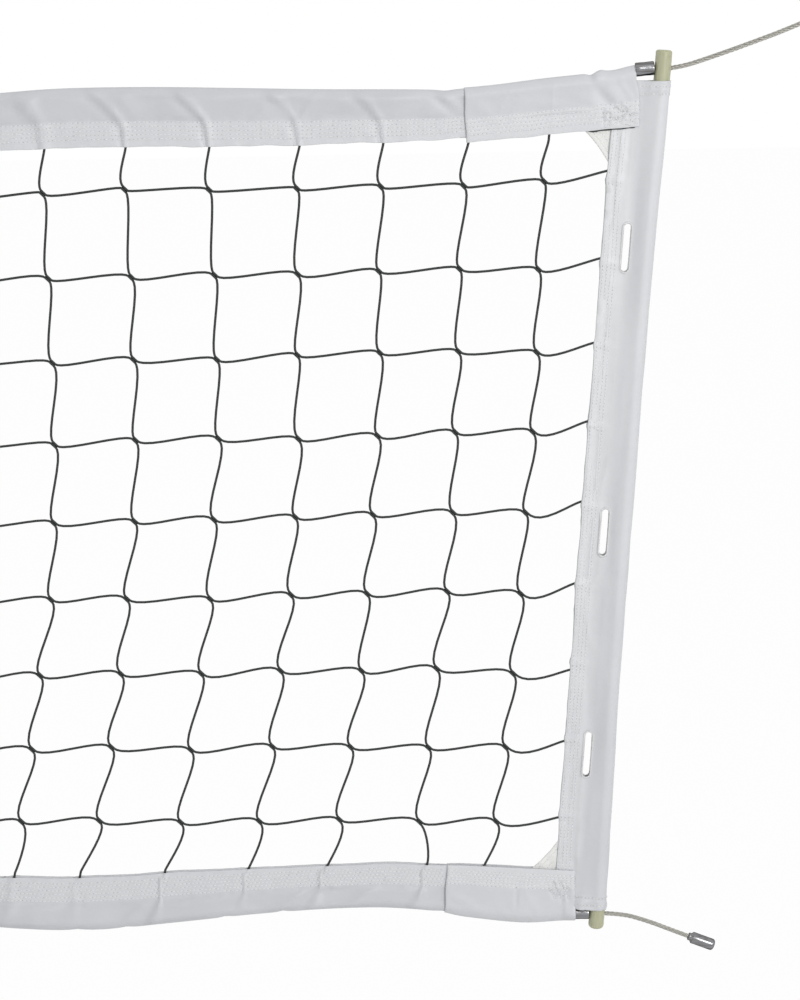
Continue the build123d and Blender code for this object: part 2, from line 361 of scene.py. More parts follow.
# A round cord, or the strands of a laid rope, along lines
laid, (lines, diameter, strands, strand_diameter, lay, facets, cord_input) = geometry_tree(
    "laid_cord", [("Diameter", "Float"), ("Strands", "Int"), ("Strand diameter", "Float"), ("Lay", "Float"),
                  ("Facets", "Int"), ("Material", "Material")])
spine = laid.add("GeometryNodeMeshToCurve", {}, [lines])
copies = laid.add("GeometryNodeDuplicateElements", {"domain": "SPLINE"}, {0: spine, 2: strands})
copy_index = Signal(laid, copies.socket.node.outputs[1])
distance = laid.add("GeometryNodeSplineParameter", {}, output=1)
angle = distance / lay * tau + copy_index / strands * tau
normal = laid.add("GeometryNodeInputNormal")
tangent = laid.add("GeometryNodeInputTangent")
across = laid.add("ShaderNodeVectorMath", {"operation": "CROSS_PRODUCT"}, [tangent, normal])
reach = (diameter - strand_diameter) * 0.5
offset = laid.add("ShaderNodeVectorMath", {"operation": "ADD"}, [
    laid.add("ShaderNodeVectorMath", {"operation": "SCALE"}, {0: normal, 3: angle.cosine() * reach}),
    laid.add("ShaderNodeVectorMath", {"operation": "SCALE"}, {0: across, 3: angle.sine() * reach})])
twisted = laid.add("GeometryNodeSetPosition", {}, {"Geometry": copies, "Offset": offset})
twisted = laid.add("GeometryNodeStoreNamedAttribute", {"domain": "POINT"},
                   {"Geometry": twisted, "Name": "along", "Value": distance})
ring = laid.add("GeometryNodeCurvePrimitiveCircle", {},
                {"Resolution": facets, "Radius": strand_diameter * 0.5})
ring = laid.add("GeometryNodeStoreNamedAttribute", {"domain": "POINT"},
                {"Geometry": ring, "Name": "turn", "Value": laid.add("GeometryNodeSplineParameter")})
tubes = laid.add("GeometryNodeCurveToMesh", {}, {"Curve": twisted, "Profile Curve": ring, "Fill Caps": True})
finish_tree(laid, tubes, cord_input)


def cord_along(name, lines, diameter, facets, material, strands=1, strand_share=1.0, lay=1.0):
    """Cords along lines of points: round ones, or ropes whose strands are a share of them in diameter."""
    cords = line_object(name, lines)
    grow(cords, laid, {"Diameter": diameter, "Strands": strands, "Strand diameter": diameter * strand_share,
                       "Lay": lay, "Facets": facets, "Material": material})
    map_cord(cords.data)
    return cords


def smooth_route(points):
    """The points of the smooth line that has the route's points as its control points."""
    curve = bpy.data.curves.new("route", "CURVE")
    curve.dimensions = "3D"
    curve.resolution_u = 24
    spline = curve.splines.new("NURBS")
    spline.points.add(len(points) - 1)
    for control, point in zip(spline.points, points):
        control.co = (*point, 1)
    spline.order_u = 3
    spline.use_endpoint_u = True
    route = bpy.data.objects.new("route", curve)
    mesh = bpy.data.meshes.new_from_object(route)
    line = [vertex.co.copy() for vertex in mesh.vertices]
    bpy.data.meshes.remove(mesh)
    bpy.data.objects.remove(route)
    bpy.data.curves.remove(curve)
    return line


def tail_points(side, route):
    """A tail's route in space."""
    return [Vector((side * (top_hole.x + x * MILLIMETRE), 0, z * MILLIMETRE)) for x, z in route]


# Swaged sleeves: plated steel tube pressed on the rope. A plain one bears on each rod, and a longer one
# with a collar and a rounded tip ends each tail.
def swaged_finish(tree):
    """Bright plating, drawn out in fine scratches along the sleeve."""
    here = tree.here()
    scratches = tree.noise(tree.stretched(here, (24.0, 420.0, 420.0)), 1.0, 4.0)
    cloud = tree.noise(here, 160.0, 5.0)
    streaks = ((scratches - 0.36) * 3.4).positive()
    colour = tree.mix(streaks, (0.15, 0.14, 0.13, 1), (0.29, 0.30, 0.32, 1))
    colour = tree.mix(cloud * 0.4, colour, (0.21, 0.21, 0.215, 1))
    return {"Base Color": colour, "Roughness": scratches * 0.04 + 0.21,
            "Normal": tree.relief(0.01, 0.0002, scratches * 0.6 + cloud * 0.3)}


swaged_steel = principled("swaged_steel", {"Metallic": 1.0, "Specular Tint": (0.30, 0.28, 0.27, 1)},
                          swaged_finish)


def turned(profile, start, direction, facets=40):
    """Points and faces of a shape turned round a direction, from (distance along, radius) pairs.
    A radius of 0 is a pole."""
    axis = Vector(direction).normalized()
    first = axis.cross(Vector((0, 1, 0))).normalized()
    second = axis.cross(first)
    points, rings = [], []
    for along, radius in profile:
        centre = Vector(start) + axis * along
        rings.append((len(points), 1 if radius == 0 else facets))
        for i in range(rings[-1][1]):
            spoke = first * cos(tau * i / facets) + second * sin(tau * i / facets)
            points.append(centre + spoke * radius)
    faces = []
    for (low, low_count), (high, high_count) in zip(rings, rings[1:]):
        for i in range(facets):
            j = (i + 1) % facets
            if low_count == 1:
                faces.append((low, high + j, high + i))
            elif high_count == 1:
                faces.append((low + i, low + j, high))
            else:
                faces.append((low + i, low + j, high + j, high + i))
    return points, [tuple(reversed(face)) for face in faces]


def plain_piece(name, points, faces, material, body, slot):
    """A smooth-shaded piece from points and faces, riding on a body."""
    mesh = bpy.data.meshes.new(name)
    mesh.from_pydata([tuple(point) for point in points], [], [tuple(face) for face in faces])
    mesh.polygons.foreach_set("use_smooth", np.ones(len(mesh.polygons), bool))
    mesh.materials.append(material)
    piece = new_object(name, mesh)
    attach(piece, body)
    return piece


# The sleeves' outlines, as (distance along, radius) pairs
STOP_PROFILE = ((0.0, 0.0), (0.0, 0.0068), (0.0001, 0.0074), (0.0004, 0.0078), (0.0010, 0.0080),
                (0.0065, 0.0080), (0.0095, 0.00785), (0.0125, 0.00785), (0.0155, 0.0080), (0.0209, 0.0080),
                (0.0215, 0.0078), (0.0218, 0.0074), (0.0219, 0.0068), (0.0219, 0.0))
END_STOP_PROFILE = ((0.0, 0.0), (0.0, 0.0042), (0.0002, 0.0046), (0.0006, 0.0048), (0.0022, 0.0048),
                    (0.0026, 0.0046), (0.0028, 0.0048), (0.0040, 0.0058), (0.0048, 0.0068), (0.0051, 0.0071),
                    (0.0056, 0.00725), (0.0120, 0.0072), (0.0190, 0.0072), (0.0300, 0.00725),
                    (0.0318, 0.0070), (0.0330, 0.0062), (0.0337, 0.0051), (0.0340, 0.0038), (0.0340, 0.0))
STOP_REACH = 0.0097  # from a rod's axis to the sleeve's bearing face, which touches the rod

# Each level's tail and sleeves, and how the sleeve at the rod sits: (rise of its face, slope of its axis)
for side_name, side in SIDES:
    for level, route, length, body, lay_word, bearing, (rise, slope) in (
        ("top", TOP_TAIL, TOP_TAIL_LENGTH, "top_cable_ends", "taut", top_hole, (0.0016, 0.079)),
        ("bottom", BOTTOM_TAIL, BOTTOM_TAIL_LENGTH, "net", "loose", bottom_hole, (0.0010, 0.0)),
    ):
        control = tail_points(side, route)
        line = smooth_route(control)
        tail = cord_along(f"{level}_tail_rope_{side_name}", [np.array(line)], ROPE_DIAMETER, 7, wire_rope,
                          strands=6, strand_share=0.35, lay=ROPE_LAY)
        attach(tail, body)
        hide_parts(f"{level}_tail_{side_name}")
        face = (side * (bearing.x - STOP_REACH), 0, bearing.z + rise)
        stop = plain_piece(f"{level}_stop_{side_name}", *turned(STOP_PROFILE, face, (-side, 0, -slope)),
                           swaged_steel, body, "swaged_steel")
        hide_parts(f"{level}_stops")
        end_stop = plain_piece(f"{level}_end_stop_{side_name}",
                               *turned(END_STOP_PROFILE, control[-1], control[-1] - control[-2]),
                               swaged_steel, body, "swaged_steel")
        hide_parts(f"{level}_end_stops")

# ---------------------------------------------------------------------------------------------------
# End rods. Each is a 19 mm pultruded fibreglass rod with rounded ends, drilled for the two cables. It
# stands in the pocket of its side band, the cables' sleeves bear on it, and the netting's pull bows it.
ROD_RADIUS = 0.0095
ROD_ABOVE = 0.022  # its top hole
ROD_BELOW = 0.019  # its bottom hole
ROD_HOLE_RADIUS = 0.0039
ROD_FOOT_ROUND = 0.0050
ROD_TOP_ROUND = 0.0028
ROD_BOW = 0.0056  # towards the net at half height
ROD_BOW_FULLNESS = 0.0004  # how much fuller than a sine's the bow's ends are


def fibreglass_finish(tree):
    """Yellow-green resin with the pale glass fibres showing along the rod."""
    here = tree.here()
    streaks = tree.noise(tree.stretched(here, (1400.0, 1400.0, 26.0)), 1.0, 3.0)
    cloud = tree.noise(here, 95.0, 3.0)
    colour = tree.mix(streaks, (0.29, 0.295, 0.18, 1), (0.57, 0.575, 0.40, 1))
    colour = tree.mix(cloud * 0.5, colour, (0.49, 0.495, 0.34, 1))
    return {"Base Color": colour, "Roughness": streaks * 0.2 + 0.3,
            "Normal": tree.relief(0.35, 0.0001, streaks)}


fibreglass = principled("fibreglass", {"Subsurface Weight": 0.25, "Subsurface Radius": (0.004, 0.004, 0.002),
                                       "Subsurface Scale": 1.0}, fibreglass_finish)


def up_rod(side):
    """The direction up a rod."""
    return Vector((side * sin(lean), 0, cos(lean)))


HOLE_SPACING = (top_hole - bottom_hole).length


def rod_bow(down):
    """How far a rod bows towards the net, at distances down from its top hole."""
    turn = pi * np.clip(down / HOLE_SPACING, 0, 1)
    return ROD_BOW * np.sin(turn) + ROD_BOW_FULLNESS * np.sin(3 * turn)


def rounded_rod_profile(length):
    """(distance along, radius) pairs of a rod whose ends are rounded over."""
    foot, top = ([(rounding * (1 - cos(turn)), ROD_RADIUS - rounding * (1 - sin(turn)))
                  for turn in np.linspace(0, pi / 2, 7)] for rounding in (ROD_FOOT_ROUND, ROD_TOP_ROUND))
    straight = [(along, ROD_RADIUS) for along in np.linspace(0.04, length - 0.04, 24)]
    far = [(length - along, radius) for along, radius in reversed(top)]
    return [(0.0, 0.0), *foot, *straight, *far, (length, 0.0)]


DRILL_LENGTH = 4 * ROD_RADIUS
DRILL_PROFILE = ((0, 0), (0, ROD_HOLE_RADIUS), (DRILL_LENGTH, ROD_HOLE_RADIUS), (DRILL_LENGTH, 0))

for side_name, side in SIDES:
    hole = Vector((side * top_hole.x, 0, 0))
    low_hole = Vector((side * bottom_hole.x, 0, bottom_hole.z))
    foot = low_hole - up_rod(side) * ROD_BELOW
    rod_length = (hole - low_hole).length + ROD_ABOVE + ROD_BELOW
    rod = plain_piece(f"fibreglass_rod_{side_name}",
                      *turned(rounded_rod_profile(rod_length), foot, up_rod(side), 48),
                      fibreglass, "net", "fibreglass")
    drill_direction = Vector((cos(lean), 0, -side * sin(lean)))
    for centre in (hole, low_hole):
        start = centre - drill_direction * DRILL_LENGTH / 2
        drill = plain_piece("drill", *turned(DRILL_PROFILE, start, drill_direction, 24), fibreglass, "net",
                            "fibreglass")
        drilled = rod.modifiers.new("drilled", "BOOLEAN")
        drilled.object = drill
        drilled.solver = "EXACT"
        rod_mesh = settled(rod)
        bpy.data.objects.remove(drill)
    for vertex in rod_mesh.vertices:
        vertex.co -= Vector((side * cos(lean), 0, -sin(lean))) * rod_bow(-vertex.co.z / cos(lean))
    rod_mesh.set_sharp_from_angle(angle=radians(40))
    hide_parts(f"rod_{side_name}")

# ---------------------------------------------------------------------------------------------------
# Netting. Knotless square mesh of black twisted polyethylene cord: every cord runs down one side of a mesh
# and along the next, and at each joint two cords lie side by side. It is sewn in between the cloth plies.
NET_CORD = 0.0030
NET_CORD_LAY = 0.0052  # one turn of a yarn in the cord
MESH_PITCH = 0.0966
COLUMNS_PER_SIDE = 49
ROWS = 9
FIRST_ROW = -0.1305
ROW_PITCH = 0.0968
JOINT_LENGTH = 0.0068
BAND_INNER_EDGE = 0.0545
TOP_ENTRY = -0.079  # where the cords go in between the top tape's plies
BOTTOM_ENTRY = -0.964
TUCK = 0.014  # how far the cords run on into the cloth
BEND_STEPS = 13
JOINT_SPREAD = 0.47  # how far each of a joint's two cords lies to its own side, in diameters
SLACK = 0.030  # how far the netting leans outwards at half height
SLACK_FROM = 0.26  # the distance from the band over which it comes to lean
SLACK_UNTIL = 4.9  # and at which it hangs straight
UNEVEN_UP = 0.0012  # how unevenly the joints hang
UNEVEN_OUT = 0.0010
NETTING_SEED = 11

# How the cords at the right-hand end hang, in millimetres, besides what end_pull() gives. The rows are
# counted from the top, and the columns of a short list end with the last one before the band.
LAST_JOINTS_UP = (4, -3, -2, 0, -2, -6, -7, -2, -1)
BAND_ENDS_UP = (12, 10, 7, 10, 11, 11, 2, 7, 5)  # above the last joints
TOP_JOINTS_OUT = (-0.5, -1.5, 4, 4, 3, -1.5)
TOP_ENTRIES_OUT = (-2, -3, -1, -2, 2.5, 1.5)
SEWN_OUT = (-21, -15, -17, 8, -14.5)  # where the cords are sewn in at the bottom, from their last joints

chance = np.random.default_rng(NETTING_SEED)
columns = np.arange(-COLUMNS_PER_SIDE, COLUMNS_PER_SIDE + 1)
row_heights = FIRST_ROW - ROW_PITCH * np.arange(ROWS)


def rod_x(z):
    """How far out the rods' axes are at height z."""
    return top_hole.x + z * (top_hole.x - bottom_hole.x) / -bottom_hole.z


def net_bow(x, z):
    """How far the slack netting leans outwards between its taut top and bottom rows."""
    inwards = rod_x(z) - BAND_INNER_EDGE - np.abs(x)
    swell = 1 - np.exp(-np.maximum(inwards, 0) / SLACK_FROM)
    swell = SLACK * swell * np.maximum(1 - inwards / SLACK_UNTIL, 0)
    return np.sign(x) * swell * np.sin(pi * np.clip((FIRST_ROW - z) / (ROW_PITCH * (ROWS - 1)), 0, 1))


def step_up(value, start, end):
    """0 before start and 1 after end, smoothly."""
    t = np.clip((value - start) / (end - start), 0, 1)
    return t * t * (3 - 2 * t)


def end_pull(from_end, row):
    """How far an end's uneven pull draws the joints beside it outwards and upwards. Meshes are counted from
    the end, and rows from the top."""
    near = np.minimum(from_end, 5.5)
    outwards = 2.6 - 0.18 * near**2 - 0.08 * row**2 - 0.03 * near**2 * row
    upwards = 1.3 - 0.7 * row - 0.3 * near - 0.6 * near * row + 0.11 * near * row**2
    fade = (1 - step_up(from_end, 5, 12)) * MILLIMETRE
    return outwards * fade, upwards * fade


def add_at_end(values, millimetres):
    """Moves the last of some values by the given millimetres."""
    values[-len(millimetres):] += np.array(millimetres) * MILLIMETRE


joint_z = np.tile(row_heights, (len(columns), 1))
joint_x = columns[:, None] * MESH_PITCH / top_hole.x * rod_x(joint_z)
outwards, upwards = end_pull((COLUMNS_PER_SIDE - np.abs(columns))[:, None], np.arange(ROWS)[None, :])
joint_z = joint_z + upwards + chance.normal(0, UNEVEN_UP, joint_z.shape)
add_at_end(joint_z[-1], LAST_JOINTS_UP)
joint_x = joint_x + net_bow(joint_x, joint_z) + np.sign(columns)[:, None] * outwards
joint_x = joint_x + chance.normal(0, UNEVEN_OUT, joint_x.shape)
add_at_end(joint_x[:, 0], TOP_JOINTS_OUT)
top_entry_x = joint_x[:, 0] + 0.0052 + chance.normal(0, UNEVEN_UP, len(columns))
add_at_end(top_entry_x, TOP_ENTRIES_OUT)
sewn_out = chance.normal(-0.013, 0.008, len(columns))
sewn_out[-len(SEWN_OUT):] = np.array(SEWN_OUT) * MILLIMETRE
bottom_entry_x = joint_x[:, -1] + sewn_out

down_right = np.array([1, -1]) / np.sqrt(2)
up_right = np.array([1, 1]) / np.sqrt(2)


def bent(start, start_pull, end, end_pull):
    """Points of a springy cord between two ends, with how hard and which way each end pulls it."""
    t = 0.5 - 0.5 * np.cos(np.linspace(0, pi, BEND_STEPS))[:, None]
    return ((2 * t**3 - 3 * t**2 + 1) * start + (t**3 - 2 * t**2 + t) * start_pull
            + (3 * t**2 - 2 * t**3) * end + (t**3 - t**2) * end_pull)


def joint_end(column, row, leaving, rightwards):
    """Where one of a joint's two cords enters or leaves it. The one that turns rightwards lies on the upper
    side."""
    middle = np.array([joint_x[column, row], joint_z[column, row]])
    beside = up_right * NET_CORD * (JOINT_SPREAD if rightwards else -JOINT_SPREAD)
    return middle + down_right * JOINT_LENGTH * (0.5 if leaving else -0.5) + beside


def springiness(row, level=False):
    """How strongly a joint bends the cords beside it: less in the taut rows at the top, and least in the
    level cords of the first."""
    taut = 0.010 if level and row == 0 else 0
    return 0.026 + 0.0032 * min(row, 6) - taut + chance.uniform(-0.006, 0.010)


def fall(column, row):
    """A cord's stretch down to a joint of that row, or into the bottom tape after the last row."""
    if row == 0:
        start = np.array([top_entry_x[column], TOP_ENTRY])
        before = start + np.array([0.0015, TUCK])
        points = bent(start, np.array([-0.004, -0.03]),
                      joint_end(column, 0, leaving=False, rightwards=True), down_right * springiness(0))
        return np.vstack([before, points])
    start = joint_end(column, row - 1, leaving=True, rightwards=False)
    if row == ROWS:
        end = np.array([bottom_entry_x[column], BOTTOM_ENTRY])
        points = bent(start, down_right * springiness(row - 1) * 0.8, end, np.array([-0.014, -0.03]))
        return np.vstack([points, end + np.array([-0.003, -TUCK])])
    return bent(start, down_right * springiness(row),
                joint_end(column, row, leaving=False, rightwards=True), down_right * springiness(row))


def run(column, row):
    """A cord's stretch rightwards, from a joint or the left band to the next joint or the right band."""
    height = row_heights[row]
    edge = rod_x(height) - BAND_INNER_EDGE / cos(lean)
    if column < 0:
        start = np.array([-edge, height - 0.006 + chance.normal(0, 0.002)])
        points = bent(start, np.array([0.03, 0.004]), joint_end(0, row, leaving=False, rightwards=False),
                      down_right * springiness(row, level=True))
        return np.vstack([start - np.array([TUCK, 0.001]), points])
    start = joint_end(column, row, leaving=True, rightwards=True)
    if column == len(columns) - 1:
        end_height = joint_z[-1, row] + BAND_ENDS_UP[row] * MILLIMETRE + chance.normal(0, 0.002)
        end = np.array([edge, end_height])
        points = bent(start, down_right * springiness(row, level=True) * 1.4, end, np.array([0.045, 0.009]))
        return np.vstack([points, end + np.array([TUCK, 0.002])])
    return bent(start, down_right * springiness(row, level=True),
                joint_end(column + 1, row, leaving=False, rightwards=False),
                down_right * springiness(row, level=True))


def stair(column, row):
    """One whole cord, stepping down to the right from the top tape (row 0) or the left band (column -1)."""
    stretches = []
    if column >= 0:
        stretches.append(fall(column, row))
    while row < ROWS:
        stretches.append(run(column, row))
        column += 1
        row += 1
        if column == len(columns):
            break
        stretches.append(fall(column, row))
    flat = np.vstack(stretches)
    return np.stack([flat[:, 0], np.zeros(len(flat)), flat[:, 1]], axis=1)


def net_cord_finish(tree):
    """Black cord twisted from three yarn strands, dull and a little fluffy, coloured lighter on each yarn's
    crest and darker between them, as painted light and shade.
    """
    along, turn = tree.along_surface("along_round")
    yarns_and_groove_shade = ((along * (tau / NET_CORD_LAY) + turn * (tau * 3)).sine() + 1) * 0.5
    here = tree.here()
    fluff = tree.noise(here, 900.0, 3.0)
    fade = tree.noise(here, 14.0, 2.0)
    # painted light and shade: lighter on the yarn crests, darker between them
    colour = tree.mix(yarns_and_groove_shade * fluff, (0.008, 0.011, 0.010, 1), (0.060, 0.070, 0.066, 1))
    colour = tree.mix(fade * 0.35, colour, (0.022, 0.030, 0.026, 1))
    return {"Base Color": colour, "Roughness": fluff * 0.25 + 0.45,
            "Normal": tree.relief(0.8, 0.0004, yarns_and_groove_shade)}


net_cord = principled("net_cord", {"Specular IOR Level": 0.4}, net_cord_finish)

starts = [(-1, row) for row in range(ROWS - 1, -1, -1)] + [(column, 0) for column in range(len(columns))]
NETTING_PIECES = 4
cords_each = -(-len(starts) // NETTING_PIECES)
for part in range(NETTING_PIECES):
    cords = [stair(column, row) for column, row in starts[part * cords_each:(part + 1) * cords_each]]
    netting = cord_along(f"netting_cords_{part + 1}", cords, NET_CORD, 7, net_cord)
    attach(netting, "net")
    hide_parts("mesh_rows", "mesh_columns")

# ---------------------------------------------------------------------------------------------------
# Tapes. Each is one strip of white vinyl-coated polyester cloth, its long edges turned in, folded over its
# cable and sewn through in rows, with the netting's edge between the plies.
CLOTH = 0.0008
TAPE_GAP = 0.0026  # half the room between the plies, where they are sewn
HEM_RADIUS = 0.0044  # from the cable's middle to the fold
TOP_TAPE_HEIGHT = 0.066
BOTTOM_TAPE_HEIGHT = 0.062
TOP_LEVEL = -0.020  # the cables' heights along the level stretches
BOTTOM_LEVEL = -1.016
TOP_FLARE_START = 0.258  # from the top hole to where the cables start to spread
BOTTOM_FLARE_START = 0.350
FLARE_SOFTNESS = 0.012
STOP_END = 0.0316  # from a rod's axis to the far end of the sleeve beside it
TAPE_CLEARANCE = 0.0035  # between that and the end of the tape
SEAM_TOP = 0.228  # from the top hole to the end patches' cross seams
SEAM_BOTTOM = 0.262
KNOT_PITCH = 0.1  # between the knots of drift()
WEAVE_PITCH = 0.0011
LOOSE_BULGE = 0.0034  # of the plies over the cable
QUILTING = 0.00035  # rise of the cloth between two rows of stitches
PUCKER = 0.00035  # of the sewn cloth, between stitches
TOP_RIDGE = 0.0025  # of the cloth over a cord
BOTTOM_RIDGE = 0.0015
BOTTOM_RIDGE_GROWTH = 0.0010  # towards the fold
TOP_WAVE = 0.0014  # of the loose cloth
BOTTOM_WAVE = 0.0022
TOP_CREASE = 0.0018
BOTTOM_CREASE = 0.0034
top_end = top_hole.x - STOP_END - TAPE_CLEARANCE
bottom_end = bottom_hole.x - STOP_END - TAPE_CLEARANCE
TOP_STITCH_ROWS = (0.585, 0.656, 0.727, 0.798, 0.869)  # as shares of the tape's height from its fold
BOTTOM_STITCH_ROWS = (0.560, 0.627, 0.694, 0.761, 0.828, 0.895)
BOTTOM_PATCH_ROWS = (0.645, 0.695, 0.745, 0.795, 0.845, 0.895)


def vinyl_finish(tree):
    """Coated cloth: a fine weave under the coat, faint soiling, small dents, and lighter over more plies; on
    the side bands it is also lighter towards the top, as painted light.
    """
    here = tree.here()
    cloud = tree.noise(here, 9.0, 5.0, 0.6)
    dents = tree.noise(here, 85.0, 4.0, 0.55)
    warp, weft = tree.along_surface("cloth")
    weave = (warp * (tau / WEAVE_PITCH)).sine() * (weft * (tau / WEAVE_PITCH)).sine()
    colour = tree.mix(cloud, (0.535, 0.545, 0.575, 1), (0.635, 0.645, 0.665, 1))
    plies = tree.add("ShaderNodeAttribute", {"attribute_name": "plies"}, output=2)
    # lighter where the plies mark is higher; on the side bands that includes a painted lighter top
    colour = tree.mix(plies * 0.6, colour, (0.75, 0.76, 0.775, 1))
    colour = tree.mix((dents - 0.45).positive() * 0.5, colour, (0.56, 0.57, 0.60, 1))
    return {"Base Color": colour, "Roughness": cloud * 0.16 + 0.36,
            "Normal": tree.relief(0.35, 0.0006, dents + weave * 0.06)}


white_vinyl = principled("white_vinyl", {"Specular IOR Level": 0.42}, vinyl_finish)


def mark_plies_and_painted_light(piece, plies):
    """Gives a cloth piece how doubled it is at each of its points, from 0 to 1; on the side bands the mark
    also holds painted light, higher towards the top.
    """
    mark = piece.data.attributes.new("plies", "FLOAT", "POINT")
    mark.data.foreach_set("value", np.ascontiguousarray(plies, np.float32).ravel())


def waves(a, b, seed, length, stretch=1.0):
    """Smooth random waves over two coordinates, about -1 to 1, with crests stretched along b."""
    draw = np.random.default_rng(seed)
    total = 0
    for _ in range(10):
        turn = draw.uniform(0, tau)
        pitch = length * draw.uniform(0.65, 1.6)
        phase = tau * (a * cos(turn) + b / stretch * sin(turn)) / pitch
        total = total + np.sin(phase + draw.uniform(0, tau))
    return total / 3.2


def creased(a, b, seed, length, stretch=1.0):
    """Sharp random creases over two coordinates, from 0 to 1 on their crests."""
    return np.clip(1 - np.abs(waves(a, b, seed, length, stretch)) * 1.6, 0, 1) ** 2


def bump(value, middle, width):
    """A smooth hump."""
    return np.exp(-((value - middle) / width) ** 2)


def level_line(x, level, flare_start, end_inset, end_height):
    """A cable's height along its hem: level, then spreading evenly to the sleeve at the rod."""
    slope = (end_height - level) / (flare_start - end_inset)
    inset = (np.abs(x) - (top_hole.x - flare_start)) / FLARE_SOFTNESS
    return level + slope * FLARE_SOFTNESS * np.logaddexp(0, inset)


def top_line(x):
    """The top cable's height."""
    return level_line(x, TOP_LEVEL, TOP_FLARE_START, STOP_END, 0.0)


def bottom_line(x):
    """The bottom cable's height."""
    inset = STOP_END + top_hole.x - bottom_hole.x
    return level_line(x, BOTTOM_LEVEL, BOTTOM_FLARE_START, inset, bottom_hole.z)


def drift(x, right_end, spread, seed, low):
    """How far an edge of cloth hangs off its line: in millimetres at even knots from either end of the net,
    and random further along."""
    count = int(2 * top_hole.x / KNOT_PITCH) + 3
    draw = np.random.default_rng(seed)
    knots = draw.normal(0, spread, count)
    knots = np.convolve(knots, (0.25, 0.5, 0.25), "same") * 1.5 + low
    knots[:len(right_end)] = right_end
    knots[-len(right_end):] = right_end[::-1]
    inset = (top_hole.x - x) / KNOT_PITCH
    first = np.clip(np.floor(inset).astype(int), 0, count - 2)
    t = inset - first
    before, after = knots[np.maximum(first - 1, 0)], knots[np.minimum(first + 2, count - 1)]
    here, there = knots[first], knots[first + 1]
    smooth = here + 0.5 * t * (there - before + t * (2 * before - 5 * here + 4 * there - after
                                                    + t * (3 * (here - there) + after - before)))
    return smooth * MILLIMETRE


# Where slack cloth has slipped along a cable: (how far from the top hole, width, height)
TOP_SLIPS = ((-0.080, 0.055, -0.0034), (-0.0835, 0.0050, -0.0022), (-0.072, 0.0060, 0.0019),
             (-0.055, 0.012, -0.0010), (-0.251, 0.010, -0.0014))
TOP_EDGE_SLIPS = ((-0.240, 0.033, 0.0049),)
BOTTOM_SLIPS = ((-0.264, 0.014, 0.0020), (-0.160, 0.036, -0.0026))
# How far the tapes' folds and sewn edges hang off their lines, in millimetres at the knots of drift()
TOP_FOLD_OFF = (2.6, -1, -5.4, -2.2, -0.3, 2.9, 5.6, 5.4)
TOP_EDGE_OFF = (-3, -1.2, -0.8, 3, 2.3, 1.4, 3.2, 2.8)
BOTTOM_FOLD_OFF = (-3, -2.3, -6.3, 2.5, 2.6, -3, -12.2, -20, -16)
BOTTOM_EDGE_OFF = (-2, -0.9, 0.9, -0.2, -2.6, -5.1, -7.6, -13, -11)


def slipped(x, slips):
    """How far slack cloth moves an edge."""
    return sum(height * bump(np.abs(x) - top_hole.x, middle, width) for middle, width, height in slips)


def top_tape_edges(x):
    """The heights of the top tape's fold and of its lower edge."""
    fold = top_line(x) + HEM_RADIUS + drift(x, TOP_FOLD_OFF, 2.5, 21, 1.0)
    fold = fold + slipped(x, TOP_SLIPS)
    edge = top_line(x) + HEM_RADIUS - TOP_TAPE_HEIGHT + drift(x, TOP_EDGE_OFF, 1.6, 22, 1.0)
    return fold, edge + slipped(x, TOP_EDGE_SLIPS) + 0.0007 * waves(x, 0 * x, 23, 0.05)


def bottom_tape_edges(x):
    """The heights of the bottom tape's fold and of its upper edge."""
    fold = bottom_line(x) - HEM_RADIUS + drift(x, BOTTOM_FOLD_OFF, 7.0, 31, -6.0)
    edge = bottom_line(x) - HEM_RADIUS + BOTTOM_TAPE_HEIGHT + drift(x, BOTTOM_EDGE_OFF, 4.0, 32, -4.0)
    pucker = creased(x, 0 * x, 33, 0.16) * step_up(top_hole.x - np.abs(x), 0.30, 0.40)
    fold = fold + 0.0016 * pucker + slipped(x, BOTTOM_SLIPS)
    return fold, edge + 0.0006 * waves(x, 0 * x, 34, 0.06)


def ply_depth(share, rows, gap):
    """Half a folded tape's thickness at shares of its height: round the cable, loose, then sewn flat."""
    round_fold = np.sqrt(np.clip(1 - (1 - np.clip(share / 0.07, 0, 1)) ** 2, 0, 1))
    below = np.clip((share - 0.02) / (rows[0] - 0.02), 0, 1)
    loose = LOOSE_BULGE * (1 - below) * step_up(below, 0, 0.3)
    quilted = QUILTING * np.abs(np.sin(pi * (share - rows[0]) / (rows[1] - rows[0])))
    quilted = quilted * step_up(share, rows[0] - 0.02, rows[0])
    quilted = quilted * (1 - step_up(share, rows[-1], rows[-1] + 0.02))
    return round_fold * (gap + CLOTH + loose + quilted)


def tape_shares(rows, between=2):
    """Where a folded strip's mesh has its lengthwise lines, from the fold to the edge."""
    loose = np.linspace(0, rows[0], 15)[1:-1]
    sewn = np.linspace(rows[0], rows[-1], between * (len(rows) - 1) + 1)
    return np.concatenate([[0.0, 0.004, 0.014, 0.03], loose[loose > 0.04], sewn, [0.94, 0.97, 0.99, 1.0]])


def stations(end, fine, coarse, fine_length, entries):
    """Where a long strip's mesh has its cross lines: close near its ends, and closer at the cords there."""
    near = np.linspace(end - fine_length, end, int(fine_length / fine))
    middle = np.linspace(-near[0], near[0], int(2 * near[0] / coarse))
    at_cords = [entry + np.linspace(-0.010, 0.007, 12) for entry in entries if abs(entry) > near[0]]
    xs = np.sort(np.concatenate([-near, middle[1:-1], near, *at_cords]))
    xs = xs[np.abs(xs) <= end]
    apart = np.diff(xs, prepend=-end - 1) > 0.0004
    return xs[apart]


